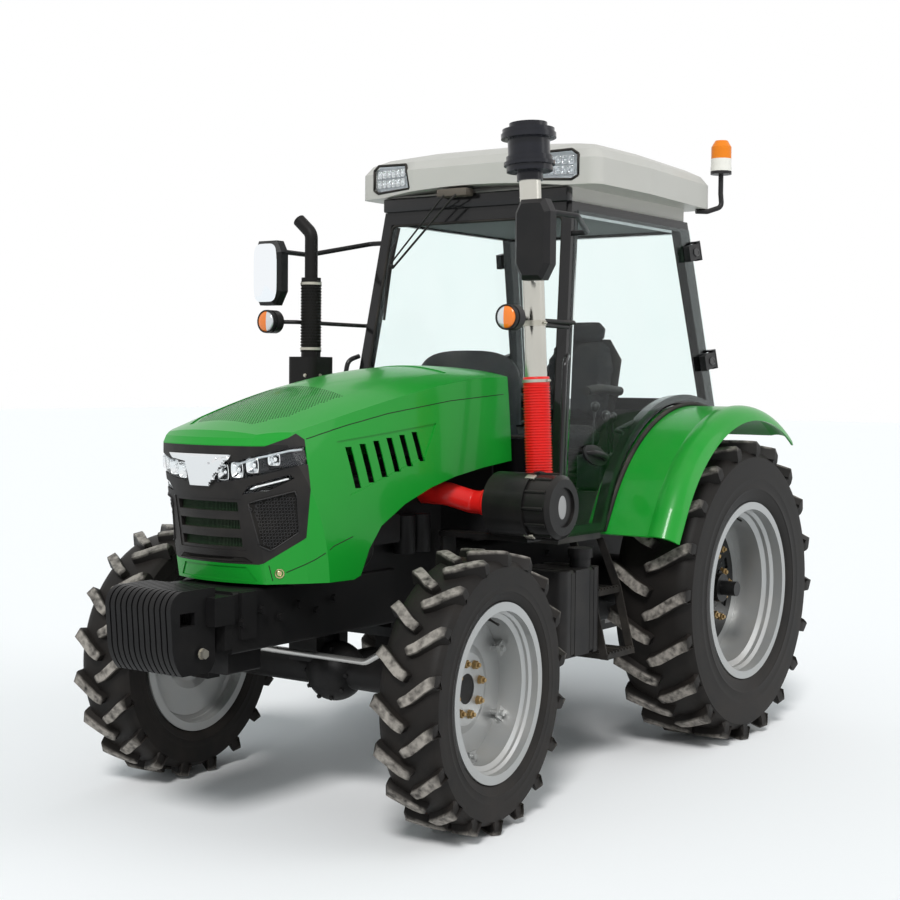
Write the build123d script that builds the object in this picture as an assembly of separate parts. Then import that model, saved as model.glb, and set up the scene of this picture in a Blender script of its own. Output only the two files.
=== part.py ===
from build123d import *
import os
from math import sin, cos, tan, atan2, degrees, radians, sqrt, pi

# A four-wheel-drive farm tractor of the 70 to 80 hp class, with a closed cab.
# Millimetres. +X is the tractor's left, -Y is forward, +Z is up.
# The origin is on the ground, midway between the two axles, under the middle of the bounding box.

os.makedirs("parts", exist_ok=True)

# ---------------------------------------------------------------- driving dimensions
wheelbase = 2000
end_reach = 1960                # from the middle to the weights in front and the link eyes behind
seat_gap = 0.3                  # running or seating gap between two pieces
plate = 8                       # sheet steel and moulded panels
glass = 6

front_axle_y = -wheelbase / 2
rear_axle_y = wheelbase / 2

front_tyre_radius = 515         # to the lugs' tips; also the height of the wheel's centre
front_tyre_width = 241
front_rim_width = 216           # over the flanges
front_rim_seat = 305
front_flange = 330
front_wheel_x = 737             # the middle of the wheel, out from the centre line

rear_tyre_radius = 690
rear_tyre_width = 378
rear_rim_width = 346
rear_rim_seat = 381
rear_flange = 407
rear_wheel_x = 732

kingpin_x = 645
steer_at_rest = 5               # degrees, the front wheels stand turned a little to the left
axle_tube_radius = 62

cab_lean = 4.0                  # degrees, the cab's sides lean inwards towards the roof
cab_side_x = 596                # outer face of the side frame at the sill's height
cab_sill_z = 1000
cab_top_z = 2410
cab_frame_depth = 45            # the side frame, measured across the cab
post_width = 52
rear_post_width = 95
rail_width = 42
cab_front_foot_y = -190
cab_front_top_y = 55
cab_rear_top_y = 1120
cab_rear_foot_y = 1325

fender_radius = 845
fender_inner_x = 500
fender_crest_x = 800
fender_outer_x = 925
fender_lip = 62
fender_thickness = 10
fender_rear_angle = 33          # degrees behind the upright
fender_front_angle = 60         # degrees ahead of the upright, where the straight front skirt starts
fender_skirt = 140

hinge_back = 16                 # the door's hinge axis runs this far behind the cab's rear edge
hinge_out = 20                  # and this far outside the door's pane
hinge_pin_radius = 7
hinge_heights = (2275, 1760)

bonnet_front_y = -1672
bonnet_rear_y = -185
bonnet_wall = 8
bonnet_hinge_y = -215
bonnet_hinge_z = 1640
cowl_top_z = 1400
cowl_face_y = -126               # front face of the cab's cowl

engine_half_width = 175
frame_half_width = 190
transmission_half_width = 165


# ---------------------------------------------------------------- helpers
def block(x0, x1, y0, y1, z0, z1, round_by=0, edges=None):
    """A box between limits, with its edges rounded along one axis or all round."""
    solid = Pos((x0 + x1) / 2, (y0 + y1) / 2, (z0 + z1) / 2) * Box(abs(x1 - x0), abs(y1 - y0), abs(z1 - z0))
    if round_by:
        chosen = solid.edges() if edges is None else solid.edges().filter_by(edges)
        solid = fillet(chosen, round_by)
    return solid


def rod(start, end, radius):
    """A round bar from one point to another."""
    a, b = Vector(*start), Vector(*end)
    run = b - a
    return Plane(origin=a, z_dir=run) * Pos(0, 0, run.length / 2) * Cylinder(radius, run.length)


def pipe(points, radii, radius, bore=0):
    """A round tube along straight runs joined by arcs."""
    path = FilletPolyline(*points, radius=radii)
    start = Plane(origin=path @ 0, z_dir=path % 0)
    section = Circle(radius)
    if bore:
        section -= Circle(bore)
    return sweep(start * section, path=path)


def side_face(points):
    """A closed outline in the tractor's side view, given as (y, z)."""
    return Plane.YZ * make_face(Polyline(*points, close=True))


def across(face, x0, x1):
    """A side-view face made solid from x0 to x1."""
    return Pos(x0, 0, 0) * extrude(face, x1 - x0, dir=(1, 0, 0))


def both(solid):
    """The solid and its mirror image on the other side of the tractor."""
    return [solid, mirror(solid, Plane.YZ)]


def ring_x(outline, x, y, z):
    """A turned piece about an axle: the outline is (x out from the wheel's middle, radius)."""
    profile = Plane.XZ * make_face(Polyline(*outline, close=True))
    return Pos(x, y, z) * revolve(profile, Axis.X)


def save(name, *solids):
    """One node: its solids written together."""
    flat = []
    for solid in solids:
        flat.extend(solid if isinstance(solid, (list, tuple)) else [solid])
    pieces = []
    for solid in flat:
        pieces.extend(solid.solids())
    for piece in pieces:
        if not piece.is_valid:
            print("not valid", name)
    shape = pieces[0] if len(pieces) == 1 else Compound(children=pieces)
    shape.label = name
    export_step(shape, f"parts/{name}.step")
    return shape


def cab_side_at(z):
    """Half-width of the cab's side frame, outside, at a height."""
    return cab_side_x - tan(radians(cab_lean)) * (z - cab_sill_z)


def front_post_y(z):
    """Front edge of the cab's front post at a height."""
    share = (z - cab_sill_z) / (cab_top_z - cab_sill_z)
    return cab_front_foot_y + share * (cab_front_top_y - cab_front_foot_y)


# ---------------------------------------------------------------- wheels
# (share of the rim's half-width, share of the well's depth reached there), from the bead seat to the well
RIM_STEPS = ((0.72, 0.0), (0.64, 0.35), (0.54, 0.35), (0.46, 1.0))
disc_thickness = 12
# one tread bar: (share of the half-width, place along the tread and half-thickness, both in bar pitches)
LUG_ENDS = ((-0.05, -0.27, 0.12), (0.97, 0.20, 0.11))
tyre_sides = 24                  # the carcass is a ring of flat strips between the bars
bar_root = 20                    # how deep a bar is sunk into the carcass

front_lug = 32
front_lug_count = 18
front_rim_well = 28
front_disc_x = -56
front_disc_dish = 10
front_hub_x = -50
front_hub_radius = 122
front_pilot_radius = 56

rear_lug = 38
rear_lug_count = 20
rear_rim_well = 34
rear_disc_x = -60
rear_disc_dish = 14
rear_hub_x = -70
rear_hub_radius = 112


def wheel_tyre(width, radius, rim_width, seat_radius, flange, lug, lug_count):
    """A tyre about the origin: a ring of flat strips with its tread bars fused on."""
    half = width / 2
    bead = rim_width / 2 - plate - seat_gap
    base = radius - lug
    right = [(bead, flange + 4), (half, (flange + base) / 2 + 10), (half - 12, base - 6)]
    stations = [(-x, r) for x, r in right] + [(x, r) for x, r in reversed(right)]

    def polygon(x, r):
        return Plane(origin=(x, 0, 0), x_dir=(0, 0, 1), z_dir=(1, 0, 0)) * RegularPolygon(r, tyre_sides)

    carcass = loft([polygon(x, r) for x, r in stations], ruled=True)
    bore = (seat_radius + seat_gap) / cos(pi / tyre_sides)
    carcass -= extrude(polygon(-width, bore), 2 * width)
    pitch = 2 * pi * radius / lug_count
    ends = [(u * half, v * pitch, t * pitch) for u, v, t in LUG_ENDS]
    outline = [(u, v - t) for u, v, t in ends] + [(u, v + t) for u, v, t in reversed(ends)]
    top = sqrt(radius ** 2 - max(abs(v) for u, v in outline) ** 2)
    root = Plane(origin=(0, bar_root - base, 0), x_dir=(1, 0, 0), z_dir=(0, -1, 0))
    bars = []
    for side in (1, -1):
        face = make_face(Polyline(*[(side * u, v) for u, v in outline], close=True))
        tread_bar = extrude(root * face, top - base + bar_root, dir=(0, -1, 0))
        for i in range(lug_count):
            stagger = 0 if side > 0 else 0.5
            bars.append(tread_bar.rotate(Axis.X, 360 / lug_count * (i + stagger) + 90))
    return carcass.fuse(*bars)


def barrel(rim_width, seat_radius, flange, well):
    """The rim's barrel about the origin, stepped down from its bead seats to the well."""
    half = rim_width / 2
    tyre_side = [(half - plate, flange), (half - plate, seat_radius)]
    wheel_side = [(half, flange), (half, seat_radius - plate)]
    for share, depth in RIM_STEPS:
        tyre_side.append((share * half, seat_radius - depth * well))
        wheel_side.append((share * half + 3, seat_radius - plate - depth * well))
    outline = tyre_side + [(-x, r) for x, r in reversed(tyre_side)]
    outline += [(-x, r) for x, r in wheel_side] + list(reversed(wheel_side))
    return ring_x(outline, 0, 0, 0)


def disc(edge, back, dish, hub_radius, bore):
    """The wheel's dished disc, from the barrel in to the bore."""
    face = back + disc_thickness
    outline = [(back, edge + 2), (face, edge + 2), (face, hub_radius + 44), (face + dish, hub_radius + 12),
               (face + dish, bore), (back + dish, bore), (back + dish, hub_radius + 8), (back, hub_radius + 40)]
    return ring_x(outline, 0, 0, 0)


def around(solid, count, first=0.0):
    """Copies of a piece in a circle about the X axis."""
    return [solid.rotate(Axis.X, first + i * 360 / count) for i in range(count)]


def front_rim():
    edge = front_rim_seat - front_rim_well - plate
    face = front_disc_x + disc_thickness
    solid = barrel(front_rim_width, front_rim_seat, front_flange, front_rim_well)
    solid += disc(edge, front_disc_x, front_disc_dish, front_hub_radius, front_pilot_radius + seat_gap)
    solid += ring_x([(front_hub_x, front_pilot_radius + seat_gap), (front_hub_x, front_hub_radius),
                     (face, front_hub_radius), (face, front_pilot_radius + seat_gap)], 0, 0, 0)
    # clamps between disc and barrel: a tab on the barrel and a bolt through it
    tab = block(face + 30, face + 40, -24, 24, edge - 42, edge + 2)
    clamp = rod((face - 2, 0, edge - 24), (face + 52, 0, edge - 24), 11)
    return solid.fuse(*around(tab, 6, 60), *around(clamp, 6, 60))


def rear_rim():
    edge = rear_rim_seat - rear_rim_well - plate
    face = rear_disc_x + disc_thickness
    boss_x = face + rear_disc_dish
    solid = barrel(rear_rim_width, rear_rim_seat, rear_flange, rear_rim_well)
    solid += disc(edge, rear_disc_x, rear_disc_dish, rear_hub_radius, 40)
    solid += rod((rear_hub_x, 0, 0), (boss_x, 0, 0), rear_hub_radius)
    window = block(rear_disc_x - 20, boss_x + 5, -28, 28, 188, 244)
    solid = solid.cut(*around(window, 8, 22.5))
    # the hub's casting with its lobes and the bare end of the axle shaft
    lobe = rod((boss_x - 5, 0, 92), (boss_x + 22, 0, 92), 24)
    casting = rod((boss_x - 5, 0, 0), (boss_x + 74, 0, 0), 66)
    shaft = rod((boss_x + 60, 0, 0), (boss_x + 146, 0, 0), 34)
    return solid.fuse(casting, shaft, rod((boss_x - 5, 0, 0), (boss_x + 16, 0, 0), 94), *around(lobe, 6, 0))


def about_kingpin(solid, side):
    """Turn a piece of a front corner to the steering angle at rest."""
    pin = Axis((side * kingpin_x, front_axle_y, front_tyre_radius), (0, 0, 1))
    return solid.rotate(pin, steer_at_rest)


SIDES = (("left", 1), ("right", -1))
front_tyre = wheel_tyre(front_tyre_width, front_tyre_radius, front_rim_width, front_rim_seat, front_flange,
                        front_lug, front_lug_count)
rear_tyre = wheel_tyre(rear_tyre_width, rear_tyre_radius, rear_rim_width, rear_rim_seat, rear_flange,
                       rear_lug, rear_lug_count)
# piece, its name, the wheel's middle, whether it is steered
WHEEL_PIECES = (
    (front_tyre, "front_tyre", (front_wheel_x, front_axle_y, front_tyre_radius), True),
    (front_rim(), "front_rim", (front_wheel_x, front_axle_y, front_tyre_radius), True),
    (rear_tyre, "rear_tyre", (rear_wheel_x, rear_axle_y, rear_tyre_radius), False),
    (rear_rim(), "rear_rim", (rear_wheel_x, rear_axle_y, rear_tyre_radius), False),
)
for piece, label, middle, steered in WHEEL_PIECES:
    for name, side in SIDES:
        placed = Pos(*middle) * piece
        if side < 0:
            placed = mirror(placed, Plane.YZ)
        save(f"{label}_{name}", about_kingpin(placed, side) if steered else placed)

# ---------------------------------------------------------------- front axle and steering
knuckle_radius = 38
knuckle_fork = 70
axle_end_thickness = 30
axle_end_rise = 105
ear_height = 92                  # the kingpin's ears, above and below the wheel's centre
ear_half = 13
ear_radius = 34                  # the ears end round, so that the wheel's disc passes them when it is steered
differential_x = 90
differential_radius = 116
front_hub_inner = front_wheel_x + front_hub_x

beam_end = kingpin_x - knuckle_fork - axle_end_thickness / 2
beam = rod((-beam_end - 4, front_axle_y, front_tyre_radius),
           (beam_end + 4, front_axle_y, front_tyre_radius), axle_tube_radius)
differential = Pos(differential_x, front_axle_y, front_tyre_radius) * Sphere(differential_radius)
pinion = rod((differential_x, front_axle_y + 60, front_tyre_radius),
             (differential_x, front_axle_y + 230, front_tyre_radius), 62)
front_axle = beam + differential + pinion
for side in (1, -1):
    end = side * (kingpin_x - knuckle_fork)
    front_axle += block(end - axle_end_thickness / 2, end + axle_end_thickness / 2, front_axle_y - ear_radius,
                        front_axle_y + ear_radius, front_tyre_radius - axle_end_rise, front_tyre_radius + axle_end_rise)
    front_axle += rod((side * (beam_end - 24), front_axle_y, front_tyre_radius),
                      (side * beam_end, front_axle_y, front_tyre_radius), 74)
    for up in (1, -1):
        ear_z = front_tyre_radius + up * ear_height
        front_axle += block(end, side * kingpin_x, front_axle_y - ear_radius, front_axle_y + ear_radius,
                            ear_z - ear_half, ear_z + ear_half)
        front_axle += Pos(side * kingpin_x, front_axle_y, ear_z) * Cylinder(ear_radius, 2 * ear_half)
pivot_top = front_tyre_radius + 165
front_axle += block(-70, 70, front_axle_y - 95, front_axle_y - 45, front_tyre_radius + 40, pivot_top)
front_axle += block(-70, 70, front_axle_y + 45, front_axle_y + 95, front_tyre_radius + 40, pivot_top)
save("front_axle", front_axle)

knuckle_arm_y = -170              # the steering arms reach forward of the axle
knuckle_arm_z = front_tyre_radius + 120
arm_low_z = front_tyre_radius + 35
arm_knee_y = front_axle_y - 118
tie_rod_y = front_axle_y + knuckle_arm_y
tie_rod_x = kingpin_x            # both arms point straight ahead, so the rod stays parallel to the axle
tie_rod_radius = 12
tie_rod_drop = 62                 # the rod's middle runs this far below its ends
eye_half = 14

for name, side in SIDES:
    pin_x = side * kingpin_x
    body = Pos(pin_x, front_axle_y, front_tyre_radius) * Cylinder(knuckle_radius, 2 * (ear_height - ear_half - seat_gap))
    body += rod((pin_x, front_axle_y, front_tyre_radius),
                (side * (front_hub_inner - seat_gap), front_axle_y, front_tyre_radius), 72)
    body += rod((pin_x, front_axle_y, front_tyre_radius),
                (side * (front_hub_inner + 13), front_axle_y, front_tyre_radius), front_pilot_radius)
    arm = pipe([(pin_x, front_axle_y - 20, arm_low_z), (pin_x, arm_knee_y, arm_low_z),
                (pin_x, tie_rod_y + 20, knuckle_arm_z)], [20], 14)
    eye = Pos(side * tie_rod_x, tie_rod_y, knuckle_arm_z) * Cylinder(26, 2 * eye_half)
    save(f"knuckle_{name}", about_kingpin(body + arm + eye, side))


def turned_point(side, x, y):
    """Where a point of a front corner stands with the wheels at rest."""
    a = radians(steer_at_rest)
    dx, dy = x - side * kingpin_x, y - front_axle_y
    return side * kingpin_x + dx * cos(a) - dy * sin(a), front_axle_y + dx * sin(a) + dy * cos(a)


left_end = turned_point(1, tie_rod_x, tie_rod_y)
right_end = turned_point(-1, -tie_rod_x, tie_rod_y)
tie_rod_z = knuckle_arm_z + 2 * eye_half + seat_gap
tie_rod_low_z = tie_rod_z - tie_rod_drop
mid_y = left_end[1]
tie_rod = pipe([(left_end[0], mid_y, tie_rod_z), (left_end[0] - 180, mid_y, tie_rod_z),
                (left_end[0] - 290, mid_y, tie_rod_low_z), (right_end[0] + 290, mid_y, tie_rod_low_z),
                (right_end[0] + 180, mid_y, tie_rod_z), (right_end[0], mid_y, tie_rod_z)], [60, 60, 60, 60],
               tie_rod_radius)
for end in (left_end, right_end):
    tie_rod += Pos(end[0], end[1], tie_rod_z) * Cylinder(24, 2 * eye_half)
save("tie_rod", tie_rod)

# ---------------------------------------------------------------- front frame, weights, engine, transmission
bolster_front_y = 270 - end_reach
bolster_low_z = pivot_top + seat_gap
bolster_top_z = 900
bolster_rear_y = -760
rail_low_z = 730                 # behind the axle's pivot the frame is two deep rails
bolster = block(-frame_half_width, frame_half_width, bolster_front_y, bolster_rear_y, bolster_low_z, bolster_top_z,
                12, Axis.Y)
bolster -= block(-frame_half_width + 28, frame_half_width - 28, front_axle_y + 110, bolster_rear_y + 60,
                 bolster_low_z - 10, bolster_top_z - 40)
bolster += block(-frame_half_width + 40, frame_half_width - 40, bolster_front_y + 20, bolster_front_y + 190,
                 rail_low_z - 130, bolster_top_z - 30, 10, Axis.Y)
for side in (1, -1):
    # a flat rib down the rail's side ahead of the axle
    bolster += block(side * (frame_half_width - 5), side * (frame_half_width + 14), bolster_front_y + 30,
                     bolster_front_y + 110, rail_low_z, bolster_top_z - 4)
save("front_bolster", bolster)

# the weights hook over the rack and hang down in front of it
weight_front_y = -end_reach
rack_depth = 170                 # from the weights' front faces back to the rack's front face
rack_low_z = 790
rack_top_z = 890
rack_width = 400
weight_top_z = 921
weight_low_z = 629
rack_face_y = weight_front_y + rack_depth
rack = block(-rack_width / 2, rack_width / 2, rack_face_y + seat_gap, bolster_front_y - seat_gap, rack_low_z, rack_top_z)
rack += block(-frame_half_width, frame_half_width, bolster_front_y - 40, bolster_front_y - seat_gap, rack_low_z - 90,
              rack_top_z)
save("weight_rack", rack)

weight_count = 12
weight_thickness = 20
weight_pitch = 27
rack_gap = seat_gap
weight_outline = make_face([
    Line((weight_front_y + 170, weight_top_z), (weight_front_y + 60, weight_top_z)),
    ThreePointArc((weight_front_y + 60, weight_top_z), (weight_front_y + 17, weight_top_z - 20),
                  (weight_front_y, weight_top_z - 68)),
    Line((weight_front_y, weight_top_z - 68), (weight_front_y + 9, 745)),
    ThreePointArc((weight_front_y + 9, 745), (weight_front_y + 22, 680), (weight_front_y + 56, weight_low_z)),
    Line((weight_front_y + 56, weight_low_z), (weight_front_y + 190, weight_low_z)),
    Line((weight_front_y + 190, weight_low_z), (weight_front_y + 215, weight_low_z + 31)),
    Line((weight_front_y + 215, weight_low_z + 31), (weight_front_y + 215, rack_low_z - rack_gap)),
    Line((weight_front_y + 215, rack_low_z - rack_gap), (rack_face_y, rack_low_z - rack_gap)),
    Line((rack_face_y, rack_low_z - rack_gap), (rack_face_y, weight_top_z)),
])
hook = side_face([(weight_front_y + 100, rack_top_z + rack_gap), (rack_face_y + 45, rack_top_z + rack_gap),
                  (rack_face_y + 45, weight_top_z), (weight_front_y + 100, weight_top_z)])
weight_profile = Plane.YZ * weight_outline
handle = side_face([(weight_front_y + 45, 800), (weight_front_y + 45, 845), (weight_front_y + 115, 845),
                    (weight_front_y + 115, 800)])
weight = across(weight_profile, 0, weight_thickness) + across(hook, 0, weight_thickness)
weight -= across(handle, -5, weight_thickness + 5)
weights = []
for i in range(weight_count):
    weights.append(Pos((i - (weight_count - 1) / 2) * weight_pitch - weight_thickness / 2, 0, 0) * weight)
# one bolt through all of them
weight_bolt = rod((-weight_count / 2 * weight_pitch - 6, weight_front_y + 140, 700),
                  (weight_count / 2 * weight_pitch + 6, weight_front_y + 140, 700), 12)
save("front_weights", weights[0].fuse(*weights[1:], weight_bolt))

engine_front_y = -1290
engine_rear_y = -430
engine_top_z = 1330
engine = across(side_face([(engine_front_y, bolster_top_z + seat_gap), (bolster_rear_y, bolster_top_z + seat_gap),
                           (bolster_rear_y + seat_gap, 660), (-700, 610), (engine_rear_y, 610),
                           (engine_rear_y, engine_top_z - 60), (engine_rear_y - 40, engine_top_z),
                           (engine_front_y + 60, engine_top_z), (engine_front_y, engine_top_z - 90)]),
                -engine_half_width, engine_half_width)
for side in (1, -1):
    face_x = side * engine_half_width
    # injection pump or alternator, filters and manifold on the block's side
    engine += block(face_x - side * 5, face_x + side * 70, -1010, -800, 1010, 1120, 14, Axis.X)
    engine += rod((face_x - side * 5, -1190, 1120), (face_x + side * 80, -1190, 1120), 58)
    for y in (-740, -640):
        engine += rod((face_x + side * 46, y, 960), (face_x + side * 46, y, 1110), 44)
        engine += block(face_x - side * 5, face_x + side * 46, y - 20, y + 20, 1060, 1100)
    engine += rod((face_x + side * 20, -1200, 1255), (face_x + side * 20, -640, 1255), 32)
save("engine", engine)

radiator = block(-235, 235, -1420, -1330, bolster_top_z + seat_gap, 1400, 10, Axis.X)
save("radiator", radiator)
# coolant hose from the front of the engine down to the radiator's foot
hose_radius = 27
coolant_hose = pipe([(engine_half_width + seat_gap, -1060, 1190), (285, -1060, 1190), (300, -1080, 960),
                     (250, -1330 + seat_gap, 940)], [45, 70], hose_radius)
save("coolant_hose", coolant_hose)

case_low_z = 480
case_top_z = 955
case_rear_y = 1160
case = block(-transmission_half_width, transmission_half_width, engine_rear_y + seat_gap, case_rear_y,
             case_low_z, case_top_z, 30, Axis.Y)
axle_housing = 118
flange_x = 505
rear_hub_inner = rear_wheel_x + rear_hub_x
for side in (1, -1):
    case += rod((side * 100, rear_axle_y, rear_tyre_radius), (side * flange_x, rear_axle_y, rear_tyre_radius), axle_housing)
    case += rod((side * flange_x, rear_axle_y, rear_tyre_radius),
                (side * (rear_hub_inner - seat_gap), rear_axle_y, rear_tyre_radius), 60)
pto_z = 640
pto_length = 76
pto_radius = 17.5
case += rod((0, case_rear_y - 10, pto_z), (0, case_rear_y + 30, pto_z), 60)
case += rod((0, case_rear_y + 20, pto_z), (0, case_rear_y + 30 + pto_length, pto_z), pto_radius)
# lift housing on top, bored for the cross shaft, with the two ears of the top link behind
lift_housing_x = 120
lift_housing_rear_y = 1195
lift_housing_top_z = 1100
arm_pivot_y = 1150
arm_pivot_z = 1045
arm_shaft_radius = 28
case += block(-lift_housing_x, lift_housing_x, 880, lift_housing_rear_y, case_top_z - 60, lift_housing_top_z, 20, Axis.X)
case -= rod((-200, arm_pivot_y, arm_pivot_z), (200, arm_pivot_y, arm_pivot_z), arm_shaft_radius + 0.5)
top_link_y = 1228
top_link_z = 950
top_link_half = 17
top_link_eye = 26
top_link_pin = 12.7
ear_thickness = 14
for side in (1, -1):
    ear_x = side * (top_link_half + 3)
    ear_end = side * (top_link_half + 3 + ear_thickness)
    case += block(ear_x, ear_end, lift_housing_rear_y - 40, top_link_y, top_link_z - 30, top_link_z + 30)
    case += rod((ear_x, top_link_y, top_link_z), (ear_end, top_link_y, top_link_z), 30)
case += rod((-45, top_link_y, top_link_z), (45, top_link_y, top_link_z), top_link_pin)
top_link_length = 600
top_link_rise = 74
top_link_tube = 16
top_end_y = top_link_y + top_link_length * cos(radians(top_link_rise))
top_end_z = top_link_z + top_link_length * sin(radians(top_link_rise))
rest_half = 14
# pins of the lower links, out of the case's sides
link_pivot_y = 1130
link_pivot_z = 520
link_x = 215
link_pin_radius = 14
link_eye_half = 20
pin_end = link_x + link_eye_half + 8
case += rod((-pin_end, link_pivot_y, link_pivot_z), (pin_end, link_pivot_y, link_pivot_z), link_pin_radius)
save("transmission", case)

drive_shaft = rod((90, front_axle_y + 230 + seat_gap, front_tyre_radius),
                  (90, engine_rear_y, front_tyre_radius), 34)
save("drive_shaft", drive_shaft)

# ---------------------------------------------------------------- bonnet
# stations from front to rear: y, half-width at the foot, at the belt and at the crease, crease height, crown height
BONNET_STATIONS = (
    (-1700, 296, 304, 258, 1409, 1431),
    (-1300, 345, 352, 310, 1500, 1574),
    (-850, 362, 366, 330, 1592, 1672),
    (bonnet_rear_y, 366, 366, 336, 1662, 1700),
)
# the nose in side view: height, and how far its front stands behind the foremost point
NOSE_STATIONS = ((700, 121), (915, 82), (1370, 0), (1412, 0), (1436, 14), (1466, 50), (1900, 380))
bonnet_foot_z = 800
bonnet_belt_z = 1200


def nose_plan(z, back, inset):
    """The bonnet's front in plan at a height."""
    front = bonnet_front_y + back + inset
    near, wide = 215 - inset / 2, 310 - inset
    face = make_face([
        ThreePointArc((-near, front + 45), (0, front), (near, front + 45)),
        Line((near, front + 45), (wide, front + 165)),
        Line((wide, front + 165), (450, front + 400)),
        Line((450, front + 400), (450, 100)),
        Line((450, 100), (-450, 100)),
        Line((-450, 100), (-450, front + 400)),
        Line((-450, front + 400), (-wide, front + 165)),
        Line((-wide, front + 165), (-near, front + 45)),
    ])
    return Pos(0, 0, z) * face


def bonnet_body(inset):
    """The closed form of the bonnet, drawn in by a wall's thickness."""
    sections = []
    for y, foot, belt, crease, crease_z, crown_z in BONNET_STATIONS:
        foot, belt, crease = foot - inset, belt - inset, crease - inset
        crease_z, crown_z = crease_z - inset, crown_z - inset
        side_arc = ThreePointArc((foot, bonnet_foot_z), (belt, bonnet_belt_z), (crease, crease_z))
        top_arc = ThreePointArc((crease, crease_z), (0, crown_z), (-crease, crease_z))
        other_arc = ThreePointArc((-crease, crease_z), (-belt, bonnet_belt_z), (-foot, bonnet_foot_z))
        foot_line = Line((-foot, bonnet_foot_z), (foot, bonnet_foot_z))
        face = make_face([side_arc, top_arc, other_arc, foot_line])
        sections.append(Plane(origin=(0, y, 0), x_dir=(1, 0, 0), z_dir=(0, -1, 0)) * face)
    nose = loft([nose_plan(z, back, inset) for z, back in NOSE_STATIONS], ruled=True)
    return loft(sections) & nose


def ahead(points, gap=0, y0=-1800, y1=-1400):
    """An outline in front view, (x, z), drawn in by a gap and made solid from y0 back to y1."""
    face = make_face(Polyline(*points, close=True))
    if gap:
        face = offset(face, -gap, kind=Kind.INTERSECTION)
    return Pos(0, y1, 0) * extrude(Plane.XZ * face, y1 - y0)


bonnet_outer = bonnet_body(0)
bonnet_shell = bonnet_outer - bonnet_body(bonnet_wall)
# the bonnet's lower edge in side view, cut away below this line
lower_edge = side_face([(-1750, 700), (-1750, 915), (-1225, 913), (-1190, 925), (-1145, 1020), (-1075, 1100),
                        (-930, 1173), (-760, 1227), (-600, 1262), (-400, 1290), (-100, 1320), (-100, 700)])
bonnet_shell -= across(lower_edge, -500, 500)
# the black mask fills the front between these lines
MASK_LINE = ((-1760, 985), (-1565, 985), (-1445, 1080), (-1445, 1430), (-1480, 1452), (-1590, 1408), (-1760, 1408))
mask_zone = across(side_face(MASK_LINE), -500, 500)
bonnet_shell = max((bonnet_shell - mask_zone).solids(), key=lambda s: s.volume)

# pressed panels, as deep as half the sheet: the vent fields of the sides, the top and the front lip
press_depth = 4
skin = bonnet_outer - bonnet_body(press_depth)
VENT_FIELD = ((-1245, 1222), (-1290, 1420), (-706, 1476), (-790, 1350))
vent_count = 6
vent_front = ((-1212, 1246), (-1248, 1398))      # the first slot's foot and head
vent_pitch = (77, 17)                            # step back and step up from slot to slot
vent_width = 34
vents = across(side_face(VENT_FIELD), -500, 500) & skin
top_field = Pos(0, 0, 1380) * extrude(make_face(Polyline((-150, -1560), (150, -1560), (215, -1430), (235, -480),
                                                         (-235, -480), (-215, -1430), close=True)), 500)
lip_field = ahead([(-150, 975), (150, 975), (185, 925), (-185, 925)])
bonnet_panel = bonnet_shell - vents - (top_field & skin) - (lip_field & skin)
(foot_y0, foot_z0), (head_y0, head_z0) = vent_front
for i in range(vent_count):
    step_y, step_z = i * vent_pitch[0], i * vent_pitch[1]
    low, high = (foot_y0 + step_y, foot_z0 + step_z), (head_y0 + step_y, head_z0 + step_z * 0.55)
    slot = side_face([low, (low[0] + vent_width, low[1]), (high[0] + vent_width, high[1]), high])
    bonnet_panel -= across(slot, -500, 500)
bonnet_panel = max(bonnet_panel.solids(), key=lambda s: s.volume)
bonnet_pin_radius = 8
bonnet_lug_x = 150
lug_half = 16
under_bonnet = bonnet_body(bonnet_wall / 2)
for side in (1, -1):
    x0, x1 = side * (bonnet_lug_x - lug_half), side * (bonnet_lug_x + lug_half)
    lug = block(x0, x1, bonnet_hinge_y - 14, bonnet_hinge_y + 14, bonnet_hinge_z, bonnet_hinge_z + 100)
    lug += rod((x0, bonnet_hinge_y, bonnet_hinge_z), (x1, bonnet_hinge_y, bonnet_hinge_z), 15)
    lug = lug & under_bonnet
    bonnet_panel += lug - rod((-400, bonnet_hinge_y, bonnet_hinge_z), (400, bonnet_hinge_y, bonnet_hinge_z),
                              bonnet_pin_radius + seat_gap)
save("bonnet_panel", bonnet_panel)

# bulkhead behind the engine, with the two forks that hold the bonnet's hinge pins
bulkhead_y = -262
bulkhead_thickness = 12
bulkhead_low_z = 1000
bulkhead_outline = [(-290, bulkhead_low_z), (290, bulkhead_low_z), (318, 1200), (300, 1560), (240, 1605), (-240, 1605),
                    (-300, 1560), (-318, 1200)]
bulkhead = Plane.XZ * make_face(Polyline(*bulkhead_outline, close=True))
bulkhead = Pos(0, bulkhead_y + bulkhead_thickness, 0) * extrude(bulkhead, bulkhead_thickness)
fork_step = lug_half + 3
for side in (1, -1):
    pin_x = side * bonnet_lug_x
    for step in (-1, 1):
        inner = pin_x + step * fork_step
        bulkhead += block(inner, inner + step * 8, bulkhead_y + 2, bonnet_hinge_y + 12, 1570, bonnet_hinge_z + 12)
    bulkhead += rod((pin_x - fork_step - 8, bonnet_hinge_y, bonnet_hinge_z),
                    (pin_x + fork_step + 8, bonnet_hinge_y, bonnet_hinge_z), bonnet_pin_radius)
bulkhead += block(-120, 120, bulkhead_y + 2, cowl_face_y - seat_gap, 1300, 1330)
save("bulkhead", bulkhead)

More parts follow.
